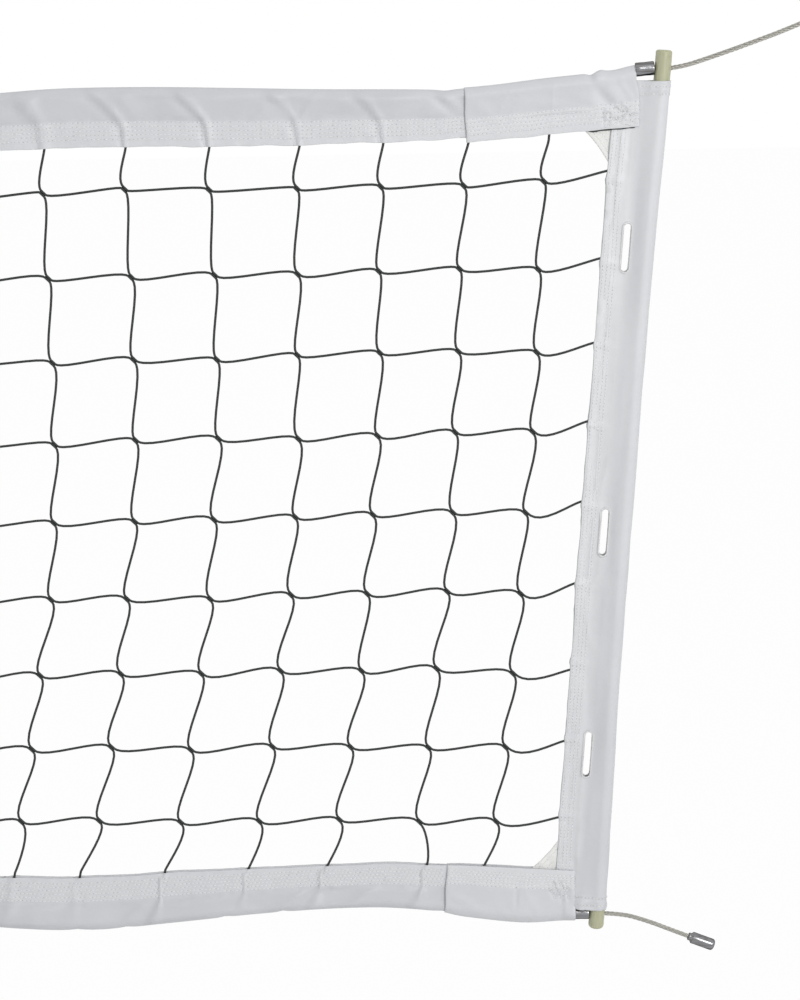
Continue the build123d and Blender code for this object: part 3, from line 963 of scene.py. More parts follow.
def cord_ridges(x, entries, seed, shift, width):
    """The cloth's relief over the netting's cords: a crest with a groove beside it, at a shift from where
    each cord goes in. It is drawn wider where the mesh is coarse."""
    draw = np.random.default_rng(seed)
    height = draw.uniform(0.6, 1.25, len(entries))
    slant = draw.uniform(0.75, 1.3, len(entries))
    width = width + 0.0045 * step_up(top_hole.x - np.abs(x), 0.66, 0.76)
    nearest = np.searchsorted((entries[1:] + entries[:-1]) / 2, x)
    total = 0
    for beside in (-1, 0, 1):
        k = np.clip(nearest + beside, 0, len(entries) - 1)
        path = entries[k] + shift * slant[k]
        ridge = bump(x, path, width) - 0.75 * bump(x, path - 1.7 * width, 0.95 * width)
        total = total + ridge * height[k] * (nearest + beside == k)
    return total


def top_relief(x, share, face):
    """How far the top tape's cloth stands off flat: ridges over the cords, loose folds by the cable, and
    small puckers where it is sewn."""
    down = share * TOP_TAPE_HEIGHT
    seed = 41 if face < 0 else 51
    shift = -0.040 * np.clip(1 - share / 0.68, 0, 1) ** 1.3
    relief = TOP_RIDGE * cord_ridges(x, top_entry_x, seed, shift, 0.0030 + 0.0055 * (1 - share))
    relief = relief * step_up(share, 0.0, 0.08)
    loose = step_up(share, 0.03, 0.2) * (1 - step_up(share, 0.48, 0.6))
    relief = relief + loose * (TOP_WAVE * waves(x + down * 0.7, down, seed + 1, 0.075)
                               + TOP_CREASE * creased(x + down * 0.8, down, seed + 2, 0.13, 2.2))
    sewn = step_up(share, 0.45, 0.56)
    return relief + sewn * PUCKER * waves(x, down, seed + 3, 0.014, 1.5)


def bottom_relief(x, share, face):
    """The same for the bottom tape, whose cloth is slacker."""
    down = share * BOTTOM_TAPE_HEIGHT
    seed = 61 if face < 0 else 71
    below = np.clip(1 - share / 0.54, 0, 1)
    shift = -0.006 * step_up(1 - share, 0.02, 0.15) - 0.010 * below
    relief = cord_ridges(x, bottom_entry_x, seed, shift, 0.0020 + 0.0080 * below)
    relief = relief * (BOTTOM_RIDGE + BOTTOM_RIDGE_GROWTH * below) * step_up(share, 0.0, 0.08)
    loose = step_up(share, 0.01, 0.12) * (1 - step_up(share, 0.40, 0.52))
    relief = relief + loose * (BOTTOM_WAVE * waves(x - down * 0.5, down, seed + 1, 0.085)
                               + BOTTOM_CREASE * creased(x - down * 0.9, down, seed + 2, 0.16, 1.8))
    sewn = step_up(share, 0.40, 0.50)
    return relief + sewn * PUCKER * waves(x, down, seed + 3, 0.014, 1.5)


TURNED_IN = (0.82, 0.93, 0.985)  # where an edge that is turned in reaches inside, as shares of the height
UNDER_PATCH = 0.0014  # how much flatter a tape lies under its patches
DEEPEST_DENT = 0.0016
HIGHEST_RIDGE = 0.02


def folded_strip(xs, edges, shares, depth, relief, mask, turned_in):
    """The points of a folded strip, from its front edge over the fold to the back one. The mask is 1 where
    the cloth is bare and 0 under a patch."""
    fold, edge = edges(xs)
    sides = []
    for face in (-1, 1):
        across = []
        if turned_in:
            across += [(share, TAPE_GAP - 0.0002) for share in TURNED_IN]
        for share in shares[::-1]:
            clear = step_up(share, 0.12, 0.20)  # of the cable
            stand = np.clip(relief(xs, share, face), -DEEPEST_DENT * clear, HIGHEST_RIDGE)
            outwards = depth(share) + stand * mask
            outwards = outwards - UNDER_PATCH * clear * (1 - mask)
            across.append((share, outwards if share > 0 else 0.0))
        rows = []
        for share, outwards in across:
            z = fold + (edge - fold) * share
            rows.append(np.stack([xs, face * (outwards + 0 * xs), z], axis=1))
        sides.append(rows)
    front, back = sides
    return np.stack([*front, *back[::-1][1:]], axis=1)


def folded_shares(shares, turned_in):
    """The shares of the height at a folded strip's points, in their order across it."""
    across = [*(TURNED_IN if turned_in else ()), *shares[::-1]]
    return np.array([*across, *across[::-1][1:]])


def sewn_zone(share, rows):
    """1 where a folded strip's plies are sewn together and 0 where they are loose."""
    return step_up(share, rows[0] - 0.05, rows[0] + 0.02)


def grid_piece(name, grid, material, body, slot, flip=False):
    """A cloth piece from a grid of points, with its UV map in metres of cloth, and its length and width."""
    lengthwise, across = grid.shape[:2]
    index = np.arange(lengthwise * across).reshape(lengthwise, across)
    quads = np.stack([index[:-1, :-1], index[1:, :-1], index[1:, 1:], index[:-1, 1:]], axis=-1)
    quads = quads.reshape(-1, 4)
    if flip:
        quads = quads[:, ::-1]
    piece = plain_piece(name, grid.reshape(-1, 3), quads.tolist(), material, body, slot)
    along = np.concatenate([[0], np.cumsum(np.linalg.norm(np.diff(grid[:, across // 2], axis=0), axis=1))])
    over = np.concatenate([[0], np.cumsum(np.linalg.norm(np.diff(grid[lengthwise // 2], axis=0), axis=1))])
    place = np.stack(np.meshgrid(along, over, indexing="ij"), axis=-1).reshape(-1, 2)
    map_surface(piece.data, "cloth", place[read_from(piece.data.loops, "vertex_index", np.int32)])
    return piece, along[-1], over[-1]


tapes = {}
for level, edges, relief, rows, end, seam, entries in (
    ("top", top_tape_edges, top_relief, TOP_STITCH_ROWS, top_end, SEAM_TOP, top_entry_x),
    ("bottom", bottom_tape_edges, bottom_relief, BOTTOM_STITCH_ROWS, bottom_end, SEAM_BOTTOM,
     bottom_entry_x),
):
    xs = stations(end, fine=0.0045, coarse=0.0092, fine_length=0.72, entries=entries)
    bare = 1 - step_up(np.abs(xs), top_hole.x - seam - 0.03, top_hole.x - seam + 0.002)
    shares = tape_shares(rows)
    grid = folded_strip(xs, edges, shares, partial(ply_depth, rows=rows, gap=TAPE_GAP), relief, bare, True)
    tape, length, width = grid_piece(f"{level}_tape_cloth", grid, white_vinyl, "net", "white_vinyl",
                                     flip=level == "bottom")
    mark_plies_and_painted_light(tape, np.tile(0.65 * sewn_zone(folded_shares(shares, True), rows), (len(xs), 1)))
    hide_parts(f"{level}_tape")
    tapes[level] = grid

# The cable in each hem. It follows the fold that rests on it, which is above it in the top tape and below
# it in the bottom one, and runs straight into its sleeve.
CABLE_STEP = 0.012
for level, edges, above, end, line_of in (("top", top_tape_edges, 1, top_end, top_line),
                                          ("bottom", bottom_tape_edges, -1, bottom_end, bottom_line)):
    xs = np.linspace(-end, end, int(2 * end / CABLE_STEP))
    fold = edges(xs)[0] * above
    closest = np.minimum.reduce([np.roll(fold, shift) for shift in (-2, -1, 0, 1, 2)]) - HEM_RADIUS
    at_end = step_up(np.abs(xs), end - 0.08, end)
    z = np.minimum(closest, closest * (1 - at_end) + above * line_of(xs) * at_end) * above
    z[1:-1] = z[:-2] * 0.25 + z[1:-1] * 0.5 + z[2:] * 0.25
    cable = cord_along(f"{level}_hem_cable", [np.stack([xs, 0 * xs, z], axis=1)], ROPE_DIAMETER, 12,
                       wire_rope)
    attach(cable, "net")
    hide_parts(f"{level}_cable")

# ---------------------------------------------------------------------------------------------------
# Side bands. Each is one strip of the same cloth folded round a rod. Its plies are sewn together beside the
# rod, over the ends of the netting's rows, and pierced with three slots for straps.
BAND_TOP = 0.013  # down the rod from its top hole
BAND_BOTTOM = 1.0262
POCKET_RADIUS = 0.0106
NECK = 0.021  # from the rod's axis to where the plies meet, towards the net
NECK_DEPTH = 0.0034
SEWN_DEPTH = 0.0023
BAND_HEM = 0.017
SLOT_OFFSET = 0.026
SLOT_LENGTH = 0.057
SLOT_WIDTH = 0.009
SLOT_DROPS = (0.208, 0.550, 0.828)
SLOT_RINGS = (0.0, 0.0004, 0.0012, 0.0022)  # mesh lines round a slot, from its edge
LEVEL_CUT = 0.055  # how far the band's top end is cut towards level, as a slope
BAND_STITCHES = (0.0515, 0.0470, 0.0425, 0.0380)  # from the rod's axis towards the net
ROW_DROPS = -row_heights / cos(lean)  # where the netting's rows go in, down the rod
SLOT_STRAIGHT = SLOT_LENGTH / 2 - SLOT_WIDTH / 2  # half the length of a slot's straight sides
# Long folds beside the netting: (from the rod's axis, start, finish, height)
BAND_FOLDS = ((0.041, 0.06, 0.20, 0.0016), (0.032, 0.05, 0.16, -0.0012), (0.030, 0.82, 0.96, 0.0010))
BAND_RIDGE = 0.0014  # of the cloth over a cord
BAND_WAVE = 0.0007
BAND_CREASE = 0.0008
POCKET_WAVE = 0.0006
HEM_RISE = 0.0007
HEM_PUCKER = 0.0005
HEM_GROOVE = 0.0008
EDGE_RIPPLE = 0.0004  # of the inner edge, along the band
EDGE_PULL = 0.0007  # of that edge towards the net, where a row goes in
RIM_RISE = 0.0004  # of the cloth round a slot, under its stitches
POCKET_PUFF = 0.0026  # of the loose cloth beside the rod, away from the slots
SLEEVE_PUFF = 0.0046  # of the band's foot over the bottom sleeve


def band_half_outline():
    """Half of a band's outline across the rod: (outwards from the axis, half thickness) from the rod's outer
    side to the band's inner edge."""
    reach = sin(atan2(POCKET_RADIUS - NECK_DEPTH, NECK))
    touch = pi / 2 + reach
    turns = np.linspace(0, touch, 15)
    pocket = np.stack([POCKET_RADIUS * np.cos(turns), POCKET_RADIUS * np.sin(turns)], axis=1)
    across = np.linspace(-0.028, -BAND_INNER_EDGE + 0.001, 13)
    sewn = np.stack([across, np.full(len(across), SEWN_DEPTH)], axis=1)
    hull = np.linspace(pocket[-1], (-NECK, NECK_DEPTH), 6)[1:]
    edge = [(-BAND_INNER_EDGE, SEWN_DEPTH - 0.0005), (-BAND_INNER_EDGE + 0.002, SEWN_DEPTH - 0.0011),
            (-BAND_INNER_EDGE + 0.014, SEWN_DEPTH - 0.0012)]
    return np.vstack([pocket, hull, sewn, edge])


outline = band_half_outline()
outline_length = np.concatenate([[0], np.cumsum(np.linalg.norm(np.diff(outline, axis=0), axis=1))])
edge_length = outline_length[-3]
outline_slope = np.gradient(outline, outline_length, axis=0)


def slot_outline(middle, drop, wider):
    """Points round a strap slot with round ends, or that much outside it, in metres over the cloth and down
    it."""
    turns = np.linspace(0, pi, 9)
    across, beyond = (SLOT_WIDTH / 2 + wider) * np.cos(turns), (SLOT_WIDTH / 2 + wider) * np.sin(turns)
    low = np.stack([middle + across, drop + SLOT_STRAIGHT + beyond], axis=1)
    up = np.linspace(low[-1], (low[-1][0], drop - SLOT_STRAIGHT), 20)[1:-1]
    high = np.stack([middle - across, drop - SLOT_STRAIGHT - beyond], axis=1)
    down = np.linspace(high[-1], (high[-1][0], drop + SLOT_STRAIGHT), 20)[1:-1]
    return np.vstack([low, up, high, down])


def over_at(outwards):
    """How far round the cloth a place is, from how far outwards of the rod's axis it lies."""
    return float(np.interp(-outwards, -outline[:-3, 0], outline_length[:-3]))


slot_over = over_at(-SLOT_OFFSET)


def slot_distance(over, down):
    """How far outside the edge of the nearest strap slot a place lies; negative within the slot."""
    past = [np.maximum(np.abs(down - drop) - SLOT_STRAIGHT, 0) for drop in SLOT_DROPS]
    return np.min([np.hypot(np.abs(over) - slot_over, end) for end in past], axis=0) - SLOT_WIDTH / 2


def band_relief(over, down, outwards, side):
    """How far a band's cloth stands off its outline: ridges over the cords, waves, creases and folds where
    it is sewn, a loose pocket round the rod, thick hems, and flat where the patches lie over it."""
    face = np.where(over < 0, 0, 40)  # far enough apart for the front and back to be unlike
    towards_net = -outwards
    sewn = step_up(towards_net, 0.018, 0.03)
    cords = sum(bump(down, drop, 0.0042) for drop in ROW_DROPS)
    relief = BAND_RIDGE * cords * sewn * step_up(towards_net, 0.026, 0.046)
    relief = relief + BAND_WAVE * waves(over + face, down, 81 + side, 0.030, 4.5) * sewn
    relief = relief + BAND_CREASE * creased(over + face, down, 91 + side, 0.05, 3.5) * sewn
    for middle, start, finish, height in BAND_FOLDS:
        lasting = step_up(down, start, start + 0.02) * (1 - step_up(down, finish - 0.06, finish))
        relief = relief + height * bump(towards_net, middle, 0.0035) * lasting
    loose = 1 - step_up(towards_net, 0.004, 0.02)
    relief = relief + POCKET_WAVE * waves(over + face, down, 85 + side, 0.045, 3.0) * loose
    for end, inwards in ((BAND_TOP, 1), (BAND_BOTTOM, -1)):
        from_end = (down - end) * inwards
        hem = 1 - step_up(from_end, BAND_HEM - 0.001, BAND_HEM + 0.001)
        relief = relief + hem * (HEM_RISE + HEM_PUCKER * waves(over + face, down, 87, 0.010, 0.8))
        relief = relief - HEM_GROOVE * bump(from_end, BAND_HEM - 0.003, 0.0012)
    relief = relief + RIM_RISE * bump(slot_distance(over, down), 0.0013, 0.0009)
    away_from_slots = 1 - sum(bump(down, drop, 0.05) for drop in SLOT_DROPS[1:])
    puffed = step_up(down, 0.22, 0.36) * away_from_slots
    relief = relief + POCKET_PUFF * puffed * bump(towards_net, 0.021, 0.010)
    over_sleeve = bump(towards_net, 0.022, 0.011) * step_up(down, 0.998, 1.024)
    relief = relief + SLEEVE_PUFF * over_sleeve
    under_patch = step_up(towards_net, 0.028, 0.034) * np.maximum(
        1 - step_up(down, 0.068, 0.080), step_up(down, 0.958, 0.968))
    return relief * (1 - under_patch)


def on_band(over, down, side, lift=0.0):
    """Places on a band's outer face, or that much lifted off it: over is measured round the cloth from the
    rod's outer side, negative at the front, and down from the top hole."""
    along = np.abs(over)
    outwards = np.interp(along, outline_length, outline[:, 0])
    depth = np.interp(along, outline_length, outline[:, 1])
    slope_out = np.interp(along, outline_length, outline_slope[:, 0])
    slope_deep = np.interp(along, outline_length, outline_slope[:, 1])
    stand = band_relief(over, down, outwards, side) + lift
    scale = np.hypot(slope_out, slope_deep)
    folded_in = step_up(along, edge_length - 0.0001, edge_length + 0.001)
    stand = stand * (1 - folded_in)
    outwards = outwards + stand * slope_deep / scale
    depth = np.maximum(depth - stand * slope_out / scale, 0.0)
    pulled = sum(bump(down, drop, 0.012) for drop in ROW_DROPS) * step_up(-outwards, 0.045, 0.0545)
    ripple = EDGE_RIPPLE * waves(down, 0 * down, 83, 0.09) * step_up(along, 0.04, 0.06)
    outwards = outwards - EDGE_PULL * pulled + ripple
    down = down - outwards * LEVEL_CUT * (1 - step_up(down, BAND_TOP + 0.01, BAND_TOP + 0.06))
    outwards = outwards - rod_bow(down) * (1 - 0.8 * step_up(-outwards, 0.004, 0.0215))
    face = np.where(over < 0, -1.0, 1.0)
    return np.stack([side * (top_hole.x + outwards * cos(lean) - down * sin(lean)), face * depth,
                     -outwards * sin(lean) - down * cos(lean)], axis=-1)


def thicken(piece, thickness, offset):
    """Gives a cloth piece its thickness: inwards from its points at -1, or half to each side at 0."""
    solid = piece.modifiers.new("cloth", "SOLIDIFY")
    solid.thickness = thickness
    solid.offset = offset


# The band's cloth laid flat, with a hole for each slot and closer mesh lines round it
over_lines = np.concatenate([-outline_length[:0:-1], outline_length])
down_lines = np.concatenate([np.linspace(BAND_TOP, BAND_TOP + 0.024, 17),
                             np.linspace(BAND_TOP + 0.024, BAND_BOTTOM - 0.024, 290)[1:-1],
                             np.linspace(BAND_BOTTOM - 0.024, BAND_BOTTOM, 17)])
net_over, net_down = (part.ravel() for part in np.meshgrid(over_lines, down_lines))
clear = slot_distance(net_over, net_down) > SLOT_RINGS[-1] + 0.0008
flat_points = [np.stack([net_over[clear], net_down[clear]], axis=1)]
flat_edges = []
start = int(clear.sum())
for face in (-1, 1):
    for drop in SLOT_DROPS:
        for ring in SLOT_RINGS:
            rim = slot_outline(face * slot_over, drop, ring)
            flat_points.append(rim)
            flat_edges += [(start + i, start + (i + 1) % len(rim)) for i in range(len(rim))]
            start += len(rim)
flat_points = np.vstack(flat_points)
cut_points, _, cut_faces, _, _, _ = delaunay_2d_cdt([Vector(p) for p in flat_points.tolist()],
                                                    flat_edges, [], 0, 1e-6)
cut_points = np.array([tuple(p) for p in cut_points])
cut_faces = np.array(cut_faces)
centres = cut_points[cut_faces].mean(axis=1)
cut_faces = cut_faces[slot_distance(centres[:, 0], centres[:, 1]) > 0]

for side_name, side in SIDES:
    places = on_band(cut_points[:, 0], cut_points[:, 1], side)
    faces = cut_faces if side < 0 else cut_faces[:, ::-1]
    band = plain_piece(f"side_band_cloth_{side_name}", places, faces.tolist(), white_vinyl, "net",
                       "white_vinyl")
    map_surface(band.data, "cloth", cut_points[read_from(band.data.loops, "vertex_index", np.int32)])
    painted_top_light = 1 - step_up(cut_points[:, 1], 0.40, 0.90)  # painted light: the upper part is coloured lighter
    sewn = step_up(np.abs(cut_points[:, 0]), over_at(-0.020), over_at(-0.029))
    # on the bands the plies mark also holds painted light: the cloth is coloured lighter towards the top
    mark_plies_and_painted_light(band, 0.35 + 0.4 * painted_top_light + 0.5 * sewn)
    thicken(band, CLOTH, -1)
    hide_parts(f"side_band_{side_name}")

# ---------------------------------------------------------------------------------------------------
# Corner gussets. Triangles of cream canvas, two layers with a hollow long edge, sewn in between the plies
# where each tape meets a side band.
GUSSET_THICKNESS = 0.0016
GUSSET_HOLLOW = 0.005
CANVAS_WEAVE_PITCH = 0.0009
# Corners in millimetres, as the tails' routes are: tip along the tape, corner, tip along the band
TOP_GUSSET = ((-104.0, -56.0), (-42.0, -56.0), (-55.0, -123.0))
BOTTOM_GUSSET = ((-170.0, -980.0), (-106.0, -980.0), (-112.0, -914.0))
GUSSET_STEPS = 26


def canvas_finish(tree):
    """Uncoated cream canvas with an open weave."""
    warp, weft = tree.along_surface("cloth")
    weave = (warp * (tau / CANVAS_WEAVE_PITCH)).sine() * (weft * (tau / CANVAS_WEAVE_PITCH)).sine()
    weave = (weave + 1) * 0.5
    cloud = tree.noise(tree.here(), 60.0, 4.0)
    colour = tree.mix(cloud, (0.83, 0.83, 0.81, 1), (0.92, 0.92, 0.90, 1))
    colour = tree.mix(weave * 0.35, colour, (0.69, 0.685, 0.66, 1))
    return {"Base Color": colour, "Roughness": cloud * 0.2 + 0.6,
            "Normal": tree.relief(0.6, 0.0003, weave + cloud)}


canvas = principled("gusset_cloth", {"Specular IOR Level": 0.3}, canvas_finish)

gussets = {}
for side_name, side in SIDES:
    for level, corners_mm in (("top", TOP_GUSSET), ("bottom", BOTTOM_GUSSET)):
        tip_in, corner, tip_along = (np.array([side * (top_hole.x + x * MILLIMETRE), z * MILLIMETRE])
                                     for x, z in corners_mm)
        middle = (tip_in + tip_along) / 2
        inwards = (corner - middle) / np.linalg.norm(corner - middle)
        grid = []
        for t in np.linspace(0, 1, GUSSET_STEPS):
            hollow = 4 * t * (1 - t) * GUSSET_HOLLOW
            edge_point = tip_in + (tip_along - tip_in) * t + inwards * hollow
            for u in np.linspace(0, 1, GUSSET_STEPS):
                flat = corner + (edge_point - corner) * max(u, 0.02)
                sag = 0.0005 * np.sin(flat[0] * 310 + flat[1] * 190) * u
                grid.append((flat[0], sag, flat[1]))
        grid = np.array(grid).reshape(GUSSET_STEPS, GUSSET_STEPS, 3)
        gusset, _, _ = grid_piece(f"{level}_gusset_canvas_{side_name}", grid, canvas, "net", "gusset_cloth",
                                  flip=(side > 0) == (level == "top"))
        thicken(gusset, GUSSET_THICKNESS, 0)
        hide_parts(f"{level}_gusset_{side_name}")
        gussets[level, side_name] = grid
        base, rise = abs(corner[0] - tip_in[0]), abs(tip_along[1] - corner[1])

# ---------------------------------------------------------------------------------------------------
# End patches. A second folded layer of cloth over the last stretch of each tape, from a cross seam to the
# swaged sleeve, tacked down hard beside the rod where the cable pulls.
PATCH_LIFT = 0.0008
PATCH_STEP = 0.0013
PATCH_BETWEEN = 4  # lengthwise mesh lines from one stitch row to the next
TACK_DEPTH = 0.0022
TACK_PUCKER = 0.0009
TACK_HALF_WIDTH = 0.0015
PATCH_SHOULDER = 0.0009  # fuller beside the cable
PATCH_WAVE = 0.0006
PATCH_CREASE = 0.0005
RIM_DROP = 0.0006  # of its sewn rims
SEWN_RIM_DROP = 0.0003  # and more where the stitch rows cross them
EDGE_DROP = 0.0005
SLEEVE_SWELL = 0.0038  # of a bottom patch over its sleeve
TOP_PATCH_PAST = 0.0042  # how far a patch runs past the end of its tape
BOTTOM_PATCH_PAST = 0.0083


def crease_along(x, z, start, finish, width, height):
    """One crease between two places on the cloth, fading at both."""
    start, finish = np.array(start), np.array(finish)
    line = finish - start
    length = np.linalg.norm(line)
    along = ((x - start[0]) * line[0] + (z - start[1]) * line[1]) / length
    off = ((x - start[0]) * line[1] - (z - start[1]) * line[0]) / length
    crease = height * bump(off, 0, width) * step_up(along, -0.004, length * 0.25)
    return crease * (1 - step_up(along, length * 0.6, length + 0.004))


# Creases from the corner: (from, to, width, height), in metres from the rod's top hole
TOP_CREASES = (
    ((-0.050, -0.052), (-0.118, -0.020), 0.0050, 0.0005),
    ((-0.044, -0.046), (-0.085, -0.006), 0.0040, 0.0005),
    ((-0.038, -0.040), (-0.052, -0.004), 0.0035, 0.0006),
    ((-0.060, -0.043), (-0.081, -0.015), 0.0060, -0.0017),
    ((-0.048, -0.042), (-0.066, -0.012), 0.0085, 0.0015),
    ((-0.070, -0.046), (-0.170, -0.034), 0.0060, 0.0008),
    ((-0.085, 0.000), (-0.072, -0.012), 0.0035, 0.0012),
    ((-0.086, -0.0475), (-0.170, -0.0530), 0.0016, -0.0016),
    ((-0.222, -0.030), (-0.185, -0.060), 0.0070, 0.0009),
)
BOTTOM_CREASES = (
    ((-0.125, -1.000), (-0.165, -1.036), 0.0050, 0.0010),
    ((-0.130, -0.992), (-0.210, -0.998), 0.0045, 0.0006),
    ((-0.115, -1.005), (-0.118, -1.036), 0.0035, 0.0008),
    ((-0.255, -1.000), (-0.215, -1.026), 0.0060, 0.0012),
    ((-0.176, -0.990), (-0.178, -1.020), 0.0025, -0.0010),
)

# Hard tacks: strokes of thread through the patches' corners, by hand, in millimetres from the top hole
TOP_TACK_STROKES = (
    ((-70, -44), (-69, -50), (-69, -57), (-67, -64)), ((-52, -39), (-50, -41), (-45, -46)),
    ((-57, -42), (-52, -47), (-48, -46)), ((-62, -54), (-56, -56), (-54, -55)), ((-53, -56), (-49, -60)),
    ((-51, -54), (-46, -49)), ((-43, -51), (-38, -50), (-32, -51)), ((-39, -57), (-35, -59), (-31, -61)),
    ((-66, -57), (-62, -58)), ((-63, -63), (-59, -62), (-55, -61)), ((-45, -62), (-39, -63)),
    ((-66, -48), (-63, -50)),
)
BOTTOM_TACK_STROKES = (
    ((-132, -987), (-130, -991), (-130, -995), (-126, -998), (-122, -1000)),
    ((-123, -987), (-122, -991), (-120, -995), (-118, -998), (-116, -1002)),
    ((-136, -997), (-133, -1000), (-132, -1004), (-130, -1007)),
    ((-119, -1004), (-119, -1007), (-122, -1011)),
    ((-114, -995), (-113, -997), (-112, -1000)), ((-115, -1005), (-113, -1007)),
    ((-129, -1002), (-127, -1006)), ((-125, -1002), (-124, -1006)),
)
# Where the tacks pucker the cloth: (middle X, middle Z, half width, half height)
TOP_TACK = (-0.050, -0.053, 0.020, 0.012)
BOTTOM_TACK = (-0.123, -0.998, 0.012, 0.011)


def top_patch_edges(x):
    """A top patch's fold and edge. It is too short to sag as the tape's edge does."""
    fold, edge = top_tape_edges(x)
    return fold + 0.0010, edge - 0.0012 - slipped(x, TOP_EDGE_SLIPS)


def bottom_patch_edges(x):
    """The same for a bottom patch."""
    fold, edge = bottom_tape_edges(x)
    return fold - 0.0011, edge + 0.0002


# Slants are how much further out the seam and the open end are beside the netting than over the cable
PATCH_KINDS = {
    "top": SimpleNamespace(
        near=top_hole.x - SEAM_TOP, far=top_end + TOP_PATCH_PAST, tape_edges=top_tape_edges,
        edges=top_patch_edges, rows=TOP_STITCH_ROWS, creases=TOP_CREASES, tack=TOP_TACK,
        strokes=TOP_TACK_STROKES, slants=(0.0018, 0.0040), sleeve_swell=0.0, seed=101),
    "bottom": SimpleNamespace(
        near=top_hole.x - SEAM_BOTTOM, far=bottom_end + BOTTOM_PATCH_PAST, tape_edges=bottom_tape_edges,
        edges=bottom_patch_edges, rows=BOTTOM_PATCH_ROWS, creases=BOTTOM_CREASES, tack=BOTTOM_TACK,
        strokes=BOTTOM_TACK_STROKES, slants=(0.0040, 0.0), sleeve_swell=SLEEVE_SWELL, seed=111),
}


def pulled_in(x, z, strokes):
    """1 on the strokes of a tack and 0 away from them."""
    most = np.zeros(np.broadcast(x, z).shape)
    for stroke in strokes:
        corners = np.array(stroke) * MILLIMETRE
        for start, finish in zip(corners, corners[1:]):
            line = finish - start
            t = np.clip(((x - start[0]) * line[0] + (z - start[1]) * line[1]) / (line @ line), 0, 1)
            off = np.hypot(x - start[0] - t * line[0], z - start[1] - t * line[1])
            most = np.maximum(most, bump(off, 0, TACK_HALF_WIDTH))
    return most


def patch_relief(kind, side, x, share, face):
    """How far a patch's cloth stands off flat: creases from the corner, dents under the tacks' thread, small
    folds, rims that are sewn down, and the sleeve's swelling in the bottom ones."""
    fold, edge = kind.tape_edges(x)
    z = fold + (edge - fold) * share
    local = side * x - top_hole.x
    relief = sum(crease_along(local, z, *crease) for crease in kind.creases)
    tack_x, tack_z, half_width, half_height = kind.tack
    tacked = bump(local, tack_x, half_width) * bump(z, tack_z, half_height)
    relief = relief + tacked * TACK_PUCKER * creased(x, z, kind.seed + 7, 0.014)
    relief = relief - TACK_DEPTH * pulled_in(local, z, kind.strokes) * (1 - step_up(share, 0.84, 0.92))
    relief = relief + PATCH_SHOULDER * bump(share, 0.12, 0.08)
    inner = step_up(share, 0.04, 0.2)
    relief = relief + inner * PATCH_WAVE * (1 + waves(x, z, kind.seed + face, 0.05, 1.4))
    relief = relief + inner * PATCH_CREASE * creased(x, z, kind.seed + 5 + face, 0.09, 1.2)
    from_rim = np.minimum(side * x - kind.near, kind.far - side * x)
    sewn = step_up(share, kind.rows[0] - 0.06, kind.rows[0])
    relief = relief - (RIM_DROP + SEWN_RIM_DROP * sewn) * (1 - step_up(from_rim, 0, 0.0025))
    relief = relief - EDGE_DROP * step_up(share, 0.96, 1)
    over_sleeve = step_up(side * x, kind.far - 0.018, kind.far - 0.003) * bump(share, 0.14, 0.13)
    return relief + kind.sleeve_swell * over_sleeve


def cut_ends(grid, kind, side):
    """Cuts a patch's seam and its open end on the slant."""
    fold, edge = kind.edges(grid[..., 0])
    share = (grid[..., 2] - fold) / (edge - fold)
    outwards = side * grid[..., 0]
    at_seam = 1 - step_up(outwards, kind.near, kind.near + 0.05)
    at_end = step_up(outwards, kind.far - 0.05, kind.far)
    ripple = 0.0005 * np.sin(share * 9)
    moved = at_seam * (kind.slants[0] * (share - 1) + ripple)
    grid[..., 0] += side * (moved + at_end * kind.slants[1] * step_up(share, 0.2, 0.5))


patches = {}
for side_name, side in SIDES:
    for level, kind in PATCH_KINDS.items():
        xs = np.sort(side * np.linspace(kind.near, kind.far, int((kind.far - kind.near) / PATCH_STEP)))
        shares = tape_shares(kind.rows, PATCH_BETWEEN)
        depth = partial(ply_depth, rows=kind.rows, gap=TAPE_GAP + PATCH_LIFT)
        grid = folded_strip(xs, kind.edges, shares, depth, partial(patch_relief, kind, side),
                            np.ones(len(xs)), False)
        cut_ends(grid, kind, side)
        patch, length, width = grid_piece(f"{level}_patch_cloth_{side_name}", grid, white_vinyl, "net",
                                          "white_vinyl", flip=level == "bottom")
        thicken(patch, CLOTH, -1)
        patch_plies = 0.32 + 0.5 * sewn_zone(folded_shares(shares, False), kind.rows)
        mark_plies_and_painted_light(patch, np.tile(patch_plies, (len(xs), 1)))
        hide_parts(f"{level}_patch_{side_name}")
        patches[level, side_name] = grid

# ---------------------------------------------------------------------------------------------------
# Edge cords, and painted shadow. The netting's top edge cord is black polyethylene too. A stretch of it
# shows under each top patch, between the tape and the side band, and its ends are sewn in between their
# plies. It lies where the patch's lower edge casts its shadow line, and its black stands for that shadow as
# painted shadow.
CORD_AND_SHADOW_START = -0.090
CORD_AND_SHADOW_END = -0.0285
CORD_AND_SHADOW_DEPTH = 0.0022

cord_and_shadow_lines = []
for side_name, side in SIDES:
    local = np.linspace(CORD_AND_SHADOW_START, CORD_AND_SHADOW_END, 40)
    x = side * (top_hole.x + local)
    tucked = 1 - step_up(local, CORD_AND_SHADOW_START, CORD_AND_SHADOW_START + 0.008) * (
        1 - step_up(local, CORD_AND_SHADOW_END - 0.006, CORD_AND_SHADOW_END))
    z = top_tape_edges(x)[1] - slipped(x, TOP_EDGE_SLIPS) - 0.0015
    z = z + 0.0022 * tucked + 0.0002 * np.sin(local * 420)
    cord_and_shadow_lines.append(np.stack([x, -CORD_AND_SHADOW_DEPTH + 0.0012 * tucked, z], axis=1))
# a black cord laid where the patch's edge casts its shadow line; its black stands for that shadow, as
# painted shadow
edge_cord_and_shadow = cord_along("selvage_cords", cord_and_shadow_lines, NET_CORD, 9, net_cord)
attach(edge_cord_and_shadow, "net")

